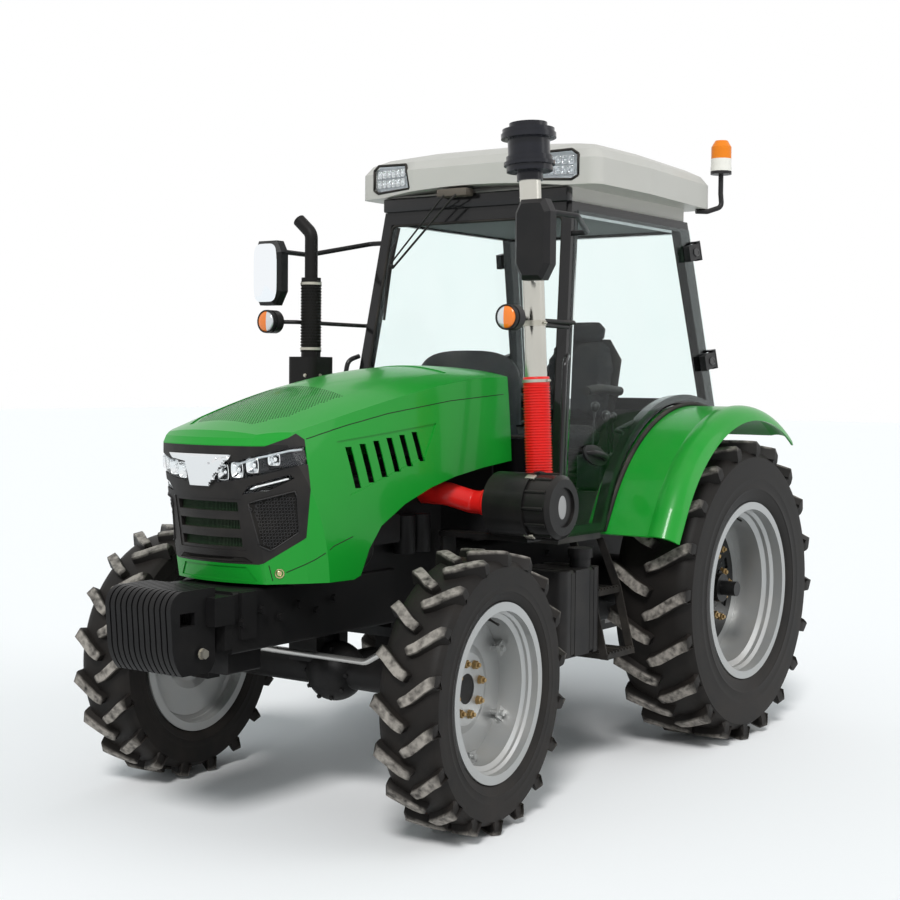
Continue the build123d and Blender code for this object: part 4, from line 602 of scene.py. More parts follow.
NUT_CIRCLES = (
    # name, body, wheel's middle, steered, nuts, circle, place out from the middle, across flats, height, turn
    ("front_wheel_nuts", "front_wheel", FRONT_HUB, True, 8, 0.098, -0.034, 0.027, 0.018, 0.2),
    ("rear_wheel_nuts", "rear_wheel", REAR_HUB, False, 8, 0.150, -0.0345, 0.032, 0.022, 0.39),
    ("rear_disc_bolts", "rear_wheel", REAR_HUB, False, 8, 0.228, -0.0485, 0.028, 0.016, 0.0),
)
for label, body, middle, steered, count, circle, out, across_flats, height, first in NUT_CIRCLES:
    nut = hex_nut(across_flats, height, across_flats * 0.3, 0.010)
    nut.transform(Matrix.Translation((out, 0, circle)))
    ring = grown(label, round_axle, nut, count=count, first_angle=first, finish=rusty_zinc)
    for side_name, side in (("left", 1), ("right", -1)):
        fitted(f"{label}_{side_name}", moved(ring, wheel_place(side, middle, steered)), rusty_zinc,
               f"{body}_{side_name}", "rim_silver", 30)
valve_rubber = finish_of("valve rubber", (0.02, 0.02, 0.02), 0.6, grain=300, relief=0.2)
for label, middle, steered, seat_radius, out in (("front", FRONT_HUB, True, 0.268, 0.050),
                                                 ("rear", REAR_HUB, False, 0.338, 0.080)):
    stem = turned("valve", [(0, 0.0075), (0.012, 0.0065), (0.014, 0.0045), (0.040, 0.0042), (0.041, 0.0050),
                            (0.052, 0.0050), (0.053, 0.0040)], (out, 0, seat_radius), axis=(0.8, 0, -0.35),
                            steps=14)
    for side_name, side in (("left", 1), ("right", -1)):
        fitted(f"{label}_valve_{side_name}", moved(stem, wheel_place(side, middle, steered)), valve_rubber,
               f"{label}_wheel_{side_name}", "rubber_tyre")

# ---- front axle and steering
# The driven front axle is a cast housing with round tubes, painted black; its knuckles, steering arms and the
# cranked tie rod are forged. Paint is thin, oily in places and dusty on top.
cast_black = finish_of("black cast iron", (0.0055, 0.0055, 0.006), 0.42, grain=320, relief=0.5, dust=0.09,
                       mottle=0.2, dust_colour=(0.09, 0.08, 0.07))
dress(cast_black, "front_axle", "knuckle_left", "knuckle_right")
tie_rod_silver = finish_of("plated steel", (0.52, 0.52, 0.51), 0.30, grain=600, relief=0.08, dust=0.2,
                           mottle=0.12, metallic=0.9)
dress(tie_rod_silver, "tie_rod")


def facing_turn(tree):
    """The turn that lays a piece's Z along each point's facing."""
    facing = tree.nodes.new("GeometryNodeInputNamedAttribute")
    facing.data_type = "FLOAT_VECTOR"
    facing.inputs["Name"].default_value = "facing"
    turn = tree.nodes.new("FunctionNodeAlignRotationToVector")
    tree.links.new(facing.outputs["Attribute"], turn.inputs["Vector"])
    return turn.outputs[0]


def bolt_tree():
    """A hexagon head on its washer at every point of the piece, square to the point's facing."""
    tree, given = new_tree("bolt heads", (("Points", "Geometry", None), ("Across Flats", "Float", 0.018),
                                          ("Head Height", "Float", 0.009), ("Washer", "Float", 0.0022),
                                          ("Finish", "Material", None)), "Bolts")
    new, link = tree.nodes.new, tree.links.new
    across, high, thin = given.outputs["Across Flats"], given.outputs["Head Height"], given.outputs["Washer"]
    whole = new("GeometryNodeJoinGeometry")
    for corners, share, depth in ((6, 0.577, high), (16, 0.66, thin)):
        body, lifted = new("GeometryNodeMeshCylinder"), new("GeometryNodeTransform")
        up = new("ShaderNodeCombineXYZ")
        body.inputs["Vertices"].default_value = corners
        link(maths(tree, "MULTIPLY", across, share), body.inputs["Radius"])
        link(depth, body.inputs["Depth"])
        link(maths(tree, "MULTIPLY", depth, 0.5), up.inputs["Z"])
        link(body.outputs["Mesh"], lifted.inputs["Geometry"])
        link(up.outputs[0], lifted.inputs["Translation"])
        link(lifted.outputs[0], whole.inputs[0])
    return copies_at(tree, given, given.outputs["Points"], whole.outputs[0], facing_turn(tree))


def points_facing(name, spots):
    """A mesh of loose points, each with the way it faces: spots are (place, facing)."""
    mesh = bpy.data.meshes.new(name)
    mesh.from_pydata([p for p, _ in spots], [], [])
    facing = mesh.attributes.new("facing", "FLOAT_VECTOR", "POINT")
    for i, (_, way) in enumerate(spots):
        facing.data[i].vector = way
    return mesh


bolt_heads = bolt_tree()


def bolts(name, spots, across_flats, height, finish, body, slot_name):
    """Bolt heads at the given places, as one piece."""
    mesh = grown(name, bolt_heads, points_facing(name, spots), across_flats=across_flats, head_height=height,
                 finish=finish)
    return fitted(name, mesh, finish, body, slot_name)


def both_sides(spots):
    """The places with their mirror images on the tractor's other side."""
    return spots + [((-p[0], p[1], p[2]), (-n[0], n[1], n[2])) for p, n in spots]


zinc = finish_of("bright zinc", (0.46, 0.44, 0.38), 0.35, grain=500, relief=0.1, dust=0.25, mottle=0.2,
                 metallic=0.85)
kingpin_bolts = [((x, -1.0 + y, 0.6205), (0, 0, 1)) for x in (0.628, 0.660) for y in (-0.018, 0.018)]
bolts("axle_cap_bolts", both_sides(kingpin_bolts), 0.013, 0.007, zinc, "chassis", "cast_black")
cover_bolts = []
for j in range(10):
    a = 2 * pi * j / 10
    cover_bolts.append(((0.09 + 0.098 * cos(a), -1.0 - 0.062, 0.515 + 0.098 * sin(a)),
                        Vector((0.3 * cos(a), -1, 0.3 * sin(a))).normalized()))
bolts("differential_bolts", cover_bolts, 0.015, 0.009, cast_black, "chassis", "cast_black")

# ---- frame, weights and ballast rack
# A cast bolster carries the engine's front and a rack with a row of slab weights, all hung in front of the
# nose on a hooked bar and drawn together by one long bolt.
dress(cast_black, "front_bolster", "weight_rack", "front_weights")
rack_spots = [((0.2045, -1.66 + i * 0.10, 0.79 + (i % 2) * 0.035), (1, 0, 0)) for i in range(6)]
bolts("rack_bolts", both_sides(rack_spots), 0.024, 0.014, cast_black, "chassis", "cast_black")
weight_low, weight_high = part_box("front_weights")
bolts("weight_bolt", [((weight_high[0] + 0.001, -1.820, 0.700), (1, 0, 0)),
                      ((weight_low[0] - 0.001, -1.820, 0.700), (-1, 0, 0))], 0.030, 0.018, zinc, "chassis",
                      "cast_black")

# ---- engine, radiator and hoses
# A four-cylinder diesel, its castings sprayed black, behind a finned radiator. The coolant hose is moulded
# black rubber under two worm-drive clamps.
dress(cast_black, "engine")
hose_rubber = finish_of("hose rubber", (0.008, 0.008, 0.008), 0.5, grain=700, relief=0.25, dust=0.08,
                        mottle=0.15, dust_colour=(0.10, 0.09, 0.08))
dress(hose_rubber, "coolant_hose")
radiator_black = finish_of("radiator black", (0.012, 0.012, 0.012), 0.5, grain=500, relief=0.2, dust=0.2)
dress(radiator_black, "radiator")


def fin_tree():
    """A row of thin upright fins across the piece's points."""
    tree, given = new_tree("cooling fins", (("Points", "Geometry", None),
                                            ("Fin Size", "Vector", (0.001, 0.01, 0.1)),
                                            ("Finish", "Material", None)), "Fins")
    fin = tree.nodes.new("GeometryNodeMeshCube")
    tree.links.new(given.outputs["Fin Size"], fin.inputs["Size"])
    return copies_at(tree, given, given.outputs["Points"], fin.outputs["Mesh"])


fin_row = fin_tree()


def fins(name, spots, size, finish, body, slot_name):
    """Thin bars at the given places, as one piece."""
    mesh = bpy.data.meshes.new(name)
    mesh.from_pydata(spots, [], [])
    made = grown(name, fin_row, mesh, fin_size=size, finish=finish)
    return place(link_new(name, made), finish, body, slot_name)


core_low, core_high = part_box("radiator")
fin_alloy = finish_of("radiator fins", (0.10, 0.10, 0.10), 0.45, grain=400, relief=0.1, dust=0.3, metallic=0.6)
fin_count = 74
core_margin = 0.012
fins("radiator_fins",
     [(core_low[0] + core_margin + (core_high[0] - core_low[0] - 2 * core_margin) * i / (fin_count - 1),
                        core_low[1] - 0.003, (core_low[2] + core_high[2]) / 2) for i in range(fin_count)],
     (0.0012, 0.008, core_high[2] - core_low[2] - 0.06), fin_alloy, "chassis", "frame_black")

# ---- transmission, drive shaft, drawbar and linkage
# The gearbox and rear axle castings carry the tractor; the linkage at the back is forged and flame-cut steel,
# its pins and balls bare.
dress(cast_black, "transmission")
linkage_black = finish_of("linkage black", (0.006, 0.006, 0.0065), 0.40, grain=360, relief=0.25, dust=0.05,
                          mottle=0.2)
dress(linkage_black, "drawbar", "lift_arms", "lift_rod_left", "lift_rod_right", "lower_link_left",
      "lower_link_right",
      "top_link", "drive_shaft")
casing_bolts = [((0.166, y, z), (1, 0, 0)) for z in (0.56, 0.66, 0.76, 0.86) for y in (-0.30, 0.42)]
bolts("casing_bolts", both_sides(casing_bolts), 0.020, 0.012, cast_black, "chassis", "cast_black")
pto_steel = finish_of("bare steel", (0.50, 0.49, 0.47), 0.28, grain=900, relief=0.12, dust=0.15, mottle=0.15,
                      metallic=0.95)
spline_outline = [0.0175 if j % 4 in (0, 1) else 0.0150 for j in range(24)]
stub_rings = []
for along, share in ((0.0, 1.0), (0.070, 1.0), (0.075, 0.92)):
    stub_rings.append([(spline_outline[j] * share * cos(2 * pi * j / 24), 1.266 + along,
                        0.62 + spline_outline[j] * share * sin(2 * pi * j / 24)) for j in range(24)])
fitted("pto_stub", loft_rings("pto_stub", stub_rings), pto_steel, "chassis", "steel", 30)
guard_points = ((-0.085, 0.50), (-0.085, 0.70), (-0.060, 0.725), (0.060, 0.725), (0.085, 0.70), (0.085, 0.50))
guard_rings = [[(x, y, z) for x, z in guard_points] for y in (1.262, 1.375)]
pto_guard = link_new("pto_guard", loft_rings("pto_guard", guard_rings, capped=False))
# the two long edges at the guard's foot stay open
work = bmesh.new()
work.from_mesh(pto_guard.data)
foot = [f for f in work.faces if all(v.co.z < 0.51 for v in f.verts)]
bmesh.ops.delete(work, geom=foot, context="FACES")
work.to_mesh(pto_guard.data)
work.free()
wall = pto_guard.modifiers.new("wall", "SOLIDIFY")
wall.thickness = 0.004
creased(pto_guard, 35)
place(pto_guard, linkage_black, "chassis", "frame_black")

# ---- bonnet details
# The bonnet's top has a pressed field with a fine punched pattern, drawn as discs of painted shade, and its
# front lip carries a barrel latch on the left. A dark strip of painted shade runs back from the mask's upper
# corners along the crease where two pressings meet.


def surface_of(*names):
    """The surface of some CAD nodes, for laying pieces on it."""
    work = bmesh.new()
    for name in names:
        work.from_mesh(nodes[name].data)
    tree = BVHTree.FromBMesh(work)
    work.free()
    return tree


def inside(outline, x, z):
    """True where a point lies inside an outline."""
    hit = False
    for i, (x0, z0) in enumerate(outline):
        x1, z1 = outline[i - 1]
        if (z0 > z) != (z1 > z) and x < (x1 - x0) * (z - z0) / (z1 - z0) + x0:
            hit = not hit
    return hit


def ribbon_on(name, line, surface, width, lift, thickness):
    """A narrow strip along a line of points on a surface, standing on it by its thickness."""
    rings = []
    for i, p in enumerate(line):
        spot, normal, _, _ = surface.find_nearest(p)
        run = (Vector(line[min(i + 1, len(line) - 1)]) - Vector(line[max(i - 1, 0)])).normalized()
        if normal.dot(Vector((p[0], 0, 0.3))) < 0:
            normal = -normal
        across_run = run.cross(normal).normalized() * width / 2
        up = normal * lift
        rings.append([spot - across_run + up, spot + across_run + up,
                      spot + across_run + up - normal * thickness, spot - across_run + up - normal * thickness])
    return loft_rings(name, rings)


bonnet_skin = surface_of("bonnet_panel")


def pair(name, mesh):
    """A mesh and its mirror image on the tractor's other side, in one."""
    return as_one(name, [mesh, moved(mesh, MIRROR)])


# dark paint along the creases and seams, standing for the shade that lies in them
seam_shadow_paint = finish_of("seam shadow", (0.008, 0.012, 0.008), 0.7, grain=300, relief=0.1)


def seam_line(spots, count=24):
    """Points along a line given by a few spots, evenly between each pair."""
    line = []
    for a, b in zip(spots, spots[1:]):
        for j in range(count):
            line.append(Vector(a).lerp(Vector(b), j / count))
    line.append(Vector(spots[-1]))
    return line


SEAMS = (
    # along the crease from the mask's upper corner to the bonnet's rear, and down beside the front lip
    ("crease_seam", ((0.325, -1.440, 1.436), (0.345, -1.25, 1.478), (0.352, -1.0, 1.520), (0.356, -0.6, 1.565),
                     (0.358, -0.22, 1.590))),
    ("lip_seam", ((0.236, -1.552, 0.982), (0.246, -1.540, 0.925))),
    ("swoosh_crease", ((0.276, -1.503, 0.954), (0.335, -1.417, 0.998), (0.355, -1.341, 1.044),
                       (0.361, -1.237, 1.072))),
)
seam_width, seam_lift, seam_sheet = 0.0032, 0.0005, 0.0025
seams = [pair(label, ribbon_on(label, seam_line(spots), bonnet_skin, seam_width, seam_lift, seam_sheet))
         for label, spots in SEAMS]
place(link_new("bonnet_seams", as_one("bonnet_seams", seams)), seam_shadow_paint, "bonnet", "green_paint")

# punched pattern of the top field: a disc of painted shade for a hole at every point of a staggered lattice
TOP_PATTERN = ((-0.135, -1.535), (0.135, -1.535), (0.195, -1.41), (0.212, -1.12), (-0.212, -1.12),
               (-0.195, -1.41))
dot_pitch = 0.0105


def pattern_tree():
    """A thin disc at every point, square to its facing: painted shade standing for the dark depth of a punched
    hole.
    """
    tree, given = new_tree("punched pattern", (("Points", "Geometry", None), ("Hole", "Float", 0.003),
                                               ("Corners", "Int", 6), ("Sink", "Float", 0.0004),
                                               ("Finish", "Material", None)), "Holes")
    hole = tree.nodes.new("GeometryNodeMeshCylinder")
    for label, socket in (("Corners", "Vertices"), ("Hole", "Radius"), ("Sink", "Depth")):
        tree.links.new(given.outputs[label], hole.inputs[socket])
    return copies_at(tree, given, given.outputs["Points"], hole.outputs["Mesh"], facing_turn(tree))


punched = pattern_tree()


def lattice(low, high, pitch):
    """Places of a staggered lattice in a rectangle (a, b)."""
    spots = []
    rows = int((high[1] - low[1]) / (pitch * 0.866)) + 1
    for row in range(rows):
        b = low[1] + row * pitch * 0.866
        a = low[0] + (pitch / 2 if row % 2 else 0)
        while a <= high[0]:
            spots.append((a, b))
            a += pitch
    return spots


dimples = []
for x, y in lattice((-0.22, -1.54), (0.22, -1.12), dot_pitch):
    if not inside(TOP_PATTERN, x, y):
        continue
    spot, normal, _, _ = bonnet_skin.ray_cast((x, y, 2.2), (0, 0, -1))
    if spot is not None:
        dimples.append((spot, normal if normal.z > 0 else -normal))
# the hole discs are dark green painted shade laid on the bonnet, not real openings
hole_shade_paint = finish_of("punched hole shade", (0.001, 0.020, 0.004), 0.6, grain=500, relief=0.1, dust=0.02)
mesh = grown("bonnet_top_holes", punched, points_facing("bonnet_top_holes", dimples), hole=0.0030, corners=8,
             sink=0.0006, finish=hole_shade_paint)
place(link_new("bonnet_top_holes", mesh), hole_shade_paint, "bonnet", "green_paint")

latch_brass = finish_of("latch plating", (0.55, 0.46, 0.26), 0.25, grain=600, relief=0.1, dust=0.15, mottle=0.2,
                        metallic=0.95)
latch_spot, latch_way, _, _ = bonnet_skin.find_nearest((0.262, -1.523, 0.951))
if latch_way.x < 0:
    latch_way = -latch_way
latch = as_one("latch", [
    turned("ring", [(-0.002, 0.0115), (0.0035, 0.0135), (0.0045, 0.0165), (0.0025, 0.0180), (-0.002, 0.0185)],
           latch_spot, axis=latch_way, steps=32, closed=True),
    turned("barrel", [(-0.002, 0.0095), (0.001, 0.0095), (0.0022, 0.008)], latch_spot, axis=latch_way,
           steps=24)])
fitted("bonnet_latch", latch, latch_brass, "bonnet", "steel", 35)

# ---- mask and its chrome plate
# The nose is closed by a mask of dark moulded plastic with a fine grain. A bare T-shaped chrome plate sits in
# its middle, honeycomb inserts fill its cheeks, and wire screens stand behind the grille's bars; dark sheets of
# painted shade lie under the inserts, behind the screens and in the chin.
mask_plastic = finish_of("mask plastic", (0.012, 0.0115, 0.012), 0.40, grain=1100, relief=0.25, dust=0.10,
                         mottle=0.10)
dress(mask_plastic, "front_mask", "grille")
chrome = finish_of("chrome", (0.78, 0.79, 0.80), 0.08, grain=300, relief=0.01, dust=0.03, mottle=0.03,
                   metallic=1.0)
mask_skin = surface_of("front_mask", "headlamps", "grille")


def hit_front(surface, x, z, from_y=-2.3, reach=0.004):
    """Where the surface is met at (x, z), looking back from the front: (place, facing)."""
    hits = []
    for dx, dz in ((0, 0), (reach, 0), (-reach, 0), (0, reach), (0, -reach)):
        spot, normal, _, _ = surface.ray_cast((x + dx, from_y, z + dz), (0, 1, 0))
        if spot is not None:
            hits.append((spot, normal))
    if hits:
        spot, normal = min(hits, key=lambda hit: hit[0].y)
        spot = Vector((x, spot.y, z))
    else:
        spot, normal, _, _ = surface.find_nearest((x, from_y + 0.7, z))
    if normal.y > 0:
        normal = -normal
    return spot, normal


def laid_sheet(name, outline, surface, lift, thickness, pitch=0.012, from_y=-2.3, reach=0.004):
    """A sheet cut to an outline (x, z), laid on a surface as seen from the front, and given its thickness."""
    work = bmesh.new()
    ring = [work.verts.new((x, 0, z)) for x, z in outline]
    work.faces.new(ring)
    bmesh.ops.triangulate(work, faces=work.faces[:])
    for axis in (0, 2):
        low = min(v.co[axis] for v in work.verts)
        high = max(v.co[axis] for v in work.verts)
        cut = low + pitch
        while cut < high - pitch * 0.3:
            plane_point, plane_way = [0, 0, 0], [0, 0, 0]
            plane_point[axis], plane_way[axis] = cut, 1
            bmesh.ops.bisect_plane(work, geom=work.verts[:] + work.edges[:] + work.faces[:],
                                   plane_co=plane_point, plane_no=plane_way)
            cut += pitch
    for v in work.verts:
        spot, _ = hit_front(surface, v.co.x, v.co.z, from_y, reach)
        v.co.y = spot.y - lift
    bmesh.ops.recalc_face_normals(work, faces=work.faces[:])
    if sum(f.normal.y for f in work.faces) > 0:
        bmesh.ops.reverse_faces(work, faces=work.faces[:])
    mesh = bpy.data.meshes.new(name)
    work.to_mesh(mesh)
    work.free()
    sheet = link_new(name, mesh)
    wall = sheet.modifiers.new("wall", "SOLIDIFY")
    wall.thickness = thickness
    wall.offset = -1
    return sheet


T_PLATE = ((-0.148, 1.377), (0.148, 1.377), (0.132, 1.359), (0.058, 1.349), (0.047, 1.263), (-0.047, 1.263),
           (-0.058, 1.349), (-0.132, 1.359))
plate = laid_sheet("nose_plate", T_PLATE, mask_skin, 0.007, 0.0065, pitch=0.008, reach=0.020)
creased(plate, 40, width=0.0015)
place(plate, chrome, "bonnet", "steel")

SIDE_INSERT = ((0.190, 1.202), (0.302, 1.243), (0.298, 1.101), (0.236, 1.041), (0.211, 1.059))
cell_pitch = 0.0132
cells = []
for x, z in lattice((0.186, 1.036), (0.306, 1.248), cell_pitch):
    if inside(SIDE_INSERT, x, z):
        spot, normal = hit_front(mask_skin, x, z)
        cells.append((spot + normal * 0.0034, normal))


def ring_cell(outer, inner, height, corners=6):
    """One cell of a honeycomb: a six-sided ring, its wall sloping in to the hole."""
    rings = []
    for radius, lift in ((outer, -height), (outer, 0.0), (inner, 0.0), (inner * 0.92, -height)):
        rings.append([(radius * cos(2 * pi * (j + 0.5) / corners), radius * sin(2 * pi * (j + 0.5) / corners),
                       lift)
                      for j in range(corners)])
    return loft_rings("cell", rings, closed=True)


def cell_tree():
    """The given cell at every point of a sheet, square to the sheet's facing."""
    tree, given = new_tree("honeycomb", (("Cell", "Geometry", None), ("Lattice", "Object", None),
                                         ("Finish", "Material", None)), "Honeycomb")
    info = tree.nodes.new("GeometryNodeObjectInfo")
    tree.links.new(given.outputs["Lattice"], info.inputs["Object"])
    return copies_at(tree, given, info.outputs["Geometry"], given.outputs["Cell"], facing_turn(tree))


honeycomb = cell_tree()


def cells_on(name, cell, spots, finish):
    """A mesh of cells at the given places."""
    carrier = link_new(name + "_lattice", points_facing(name, spots))
    mesh = grown(name, honeycomb, cell, lattice=carrier, finish=finish)
    bpy.data.objects.remove(carrier)
    return mesh


comb_plastic = finish_of("honeycomb plastic", (0.026, 0.026, 0.028), 0.30, grain=900, relief=0.1, dust=0.12)
comb = cells_on("cheek_honeycomb", ring_cell(cell_pitch * 0.577, cell_pitch * 0.40, 0.003), cells, comb_plastic)
comb_piece = link_new("cheek_honeycomb", pair("cheek_honeycomb", comb))
for polygon in comb_piece.data.polygons:
    polygon.use_smooth = False
place(comb_piece, comb_plastic, "bonnet", "black_plastic")
# near-black sheets of painted shade: under the honeycomb cells, behind the grille's screen and in the chin
shade_backing_black = finish_of("painted shade backing", (0.006, 0.006, 0.006), 0.8, grain=300, relief=0.1)
insert_shade_sheet = laid_sheet("cheek_floor_left", SIDE_INSERT, mask_skin, 0.0006, 0.0004, pitch=0.02)
creased(insert_shade_sheet, 40)
insert_shade_sheet.data = pair("cheek_floors", insert_shade_sheet.data)
insert_shade_sheet.name = "cheek_floors"
place(insert_shade_sheet, shade_backing_black, "bonnet", "black_plastic")


def tube_along(name, points, radius, steps=12, bend=0.03):
    """A round bar or hose along points, its corners rounded by the given radius."""
    path = [Vector(p) for p in points]
    line = [path[0]]
    for i in range(1, len(path) - 1):
        before, here, after = path[i - 1], path[i], path[i + 1]
        reach = min(bend, (before - here).length * 0.45, (after - here).length * 0.45)
        a = here + (before - here).normalized() * reach
        b = here + (after - here).normalized() * reach
        for j in range(7):
            t = j / 6
            line.append((1 - t) ** 2 * a + 2 * t * (1 - t) * here + t * t * b)
    line.append(path[-1])
    rings = []
    side = None
    for i, here in enumerate(line):
        ahead_of = line[min(i + 1, len(line) - 1)] - line[max(i - 1, 0)]
        along = ahead_of.normalized()
        if side is None:
            side = along.orthogonal().normalized()
        side = (side - along * side.dot(along)).normalized()
        up = along.cross(side)
        ring = [here + radius * (cos(2 * pi * j / steps) * side + sin(2 * pi * j / steps) * up)
                for j in range(steps)]
        rings.append(ring)
    return loft_rings(name, rings)


# a raised bead round each insert
bead_meshes = []
bead_middle, bead_grow = (0.248, 1.135), 1.045
for k, a in enumerate(SIDE_INSERT):
    b = SIDE_INSERT[(k + 1) % len(SIDE_INSERT)]
    line = []
    for j in range(9):
        x, z = (middle + (p + (q - p) * j / 8 - middle) * bead_grow for p, q, middle in zip(a, b, bead_middle))
        spot, normal = hit_front(mask_skin, x, z)
        line.append(spot + normal * 0.0006)
    bead_meshes.append(tube_along("bead", line, 0.0022, steps=8, bend=0.001))
beads = pair("insert_beads", as_one("insert_beads", bead_meshes))
place(link_new("insert_beads", beads), comb_plastic, "bonnet", "black_plastic")

# wire screen behind the grille's slots
screen_paint = finish_of("screen wire", (0.012, 0.040, 0.016), 0.5, grain=600, relief=0.15, dust=0.15)
screen_spots = []
for foot, head in ((1.046, 1.080), (1.110, 1.144), (1.174, 1.208)):
    for i in range(52):
        x = -0.156 + 0.312 * i / 51
        spot, _ = hit_front(mask_skin, x, foot - 0.008)
        screen_spots.append((x, spot.y + 0.018, (foot + head) / 2))
fins("grille_screen", screen_spots, (0.0022, 0.002, 0.038), screen_paint, "bonnet", "black_plastic")
# a dark sheet of painted shade behind the screen
backing = laid_sheet("grille_backing", ((-0.160, 1.036), (0.160, 1.036), (0.160, 1.218), (-0.160, 1.218)),
                     surface_of("grille"), -0.0225, 0.001, pitch=0.04)
creased(backing, 40)
place(backing, shade_backing_black, "bonnet", "black_plastic")
chin_backing = laid_sheet("chin_floor", ((-0.148, 1.008), (0.148, 1.008), (0.172, 0.994), (-0.172, 0.994)),
                          mask_skin, 0.0006, 0.0004, pitch=0.02)
creased(chin_backing, 40)
place(chin_backing, shade_backing_black, "bonnet", "black_plastic")

# ---- headlamps
# Each headlamp is a clear polycarbonate cover over a dark bezel with four reflector modules, and a slim
# light strip below it under a cover of its own.
clear_cover = bpy.data.materials.new("clear cover")
clear_cover.use_nodes = True
cover_shader = clear_cover.node_tree.nodes["Principled BSDF"]
cover_shader.inputs["Base Color"].default_value = (0.97, 0.98, 0.98, 1)
cover_shader.inputs["Roughness"].default_value = 0.03
cover_shader.inputs["Transmission Weight"].default_value = 1.0
cover_shader.inputs["IOR"].default_value = 1.2
cover_noise = object_noise(clear_cover.node_tree, 60)
cover_bump = clear_cover.node_tree.nodes.new("ShaderNodeBump")
cover_bump.inputs["Strength"].default_value = 0.02
clear_cover.node_tree.links.new(cover_noise.outputs["Fac"], cover_bump.inputs["Height"])
clear_cover.node_tree.links.new(cover_bump.outputs["Normal"], cover_shader.inputs["Normal"])
bright_reflector = finish_of("reflector", (0.86, 0.87, 0.88), 0.10, grain=160, relief=0.35, mottle=0.25,
                             dust=0.0, metallic=1.0)
lamp_bezel = finish_of("lamp bezel", (0.035, 0.036, 0.040), 0.22, grain=500, relief=0.05, dust=0.0,
                       metallic=0.6)
lamp_skin = surface_of("headlamps")


def lamp_faces(name, front, wall_thickness):
    """The headlamps' front faces, or their sides and backs, as a thin wall: the cuts run straight back."""
    work = bmesh.new()
    work.from_mesh(nodes["headlamps"].data)
    bmesh.ops.remove_doubles(work, verts=work.verts, dist=1e-5)
    work.normal_update()
    unwanted = [f for f in work.faces if (f.normal.y < -0.02) != front]
    bmesh.ops.delete(work, geom=unwanted, context="FACES")
    mesh = bpy.data.meshes.new(name)
    work.to_mesh(mesh)
    work.free()
    piece = link_new(name, mesh)
    wall = piece.modifiers.new("wall", "SOLIDIFY")
    wall.thickness = wall_thickness
    wall.offset = -1
    creased(piece, 40)
    return piece


headlamp_covers = lamp_faces("headlamp_covers", True, 0.0016)
place(headlamp_covers, clear_cover, "bonnet", "lamp_lens")
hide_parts("headlamps")
place(lamp_faces("headlamp_bezels", False, 0.0008), lamp_bezel, "bonnet", "lamp_lens")


def reflector_module(spot, facing, wide, tall, bulb=0.009):
    """A lamp module: a faceted bowl in a square frame with a small projector lens in it."""
    turn = facing.to_track_quat("Z", "Y").to_matrix().to_4x4()
    rings = []
    for size, lift in ((1.0, 0.010), (0.94, 0.012), (0.86, 0.009), (0.62, 0.000), (0.34, -0.006)):
        ring = []
        for j in range(24):
            a = 2 * pi * j / 24
            square = 1 / max(abs(cos(a)), abs(sin(a))) ** (0.75 if size > 0.8 else 0.35)
            ripple = 1 + (0.05 if j % 2 else -0.02) * (size < 0.9)
            ring.append((wide / 2 * size * cos(a) * min(square, 1.25) * ripple,
                         tall / 2 * size * sin(a) * min(square, 1.25) * ripple, lift))
        rings.append(ring)
    bowl_mesh = loft_rings("bowl", rings, capped=False)
    lens_mesh = turned("lens", [(-0.005, bulb), (0.003, bulb), (0.006, bulb * 0.8), (0.008, bulb * 0.45),
                                (0.0085, 0.0008)], (0, 0, 0), axis=(0, 0, 1), steps=20)
    whole = as_one("module", [bowl_mesh, lens_mesh])
    whole.transform(Matrix.Translation(spot) @ turn)
    return whole


modules = []
for x, z, wide, tall in ((0.100, 1.312, 0.050, 0.060), (0.157, 1.321, 0.052, 0.058),
                         (0.214, 1.337, 0.052, 0.054),
                         (0.268, 1.359, 0.046, 0.044)):
    spot, normal = hit_front(lamp_skin, x, z)
    ahead = (normal + Vector((0, -1.2, 0))).normalized()
    modules.append(reflector_module(spot - normal * 0.0175, ahead, wide, tall))
strip_line = []
for i in range(9):
    spot, normal = hit_front(lamp_skin, 0.192 + 0.106 * i / 8, 1.2525 + 0.0405 * i / 8)
    strip_line.append(spot - normal * 0.010)
modules.append(tube_along("strip", strip_line, 0.0062, steps=10, bend=0.002))
modules_mesh = pair("headlamp_modules", as_one("headlamp_modules", modules))
place(link_new("headlamp_modules", modules_mesh), bright_reflector, "bonnet", "lamp_lens")
# pale upper edge of the light guide, along each lamp's top
guide_white = finish_of("light guide", (0.62, 0.66, 0.70), 0.15, grain=200, relief=0.05, dust=0.0, coat=0.6)
guide_line = []
for j in range(15):
    t = j / 14
    x = 0.150 + 0.160 * t
    z = 1.3455 + 0.050 * max(0.0, (t - 0.12) / 0.88) ** 1.1
    spot, normal = hit_front(lamp_skin, x, z)
    guide_line.append(spot - normal * 0.008)
guides = pair("light_guides", tube_along("light_guides", guide_line, 0.0042, steps=8, bend=0.002))
place(link_new("light_guides", guides), guide_white, "bonnet", "lamp_lens")

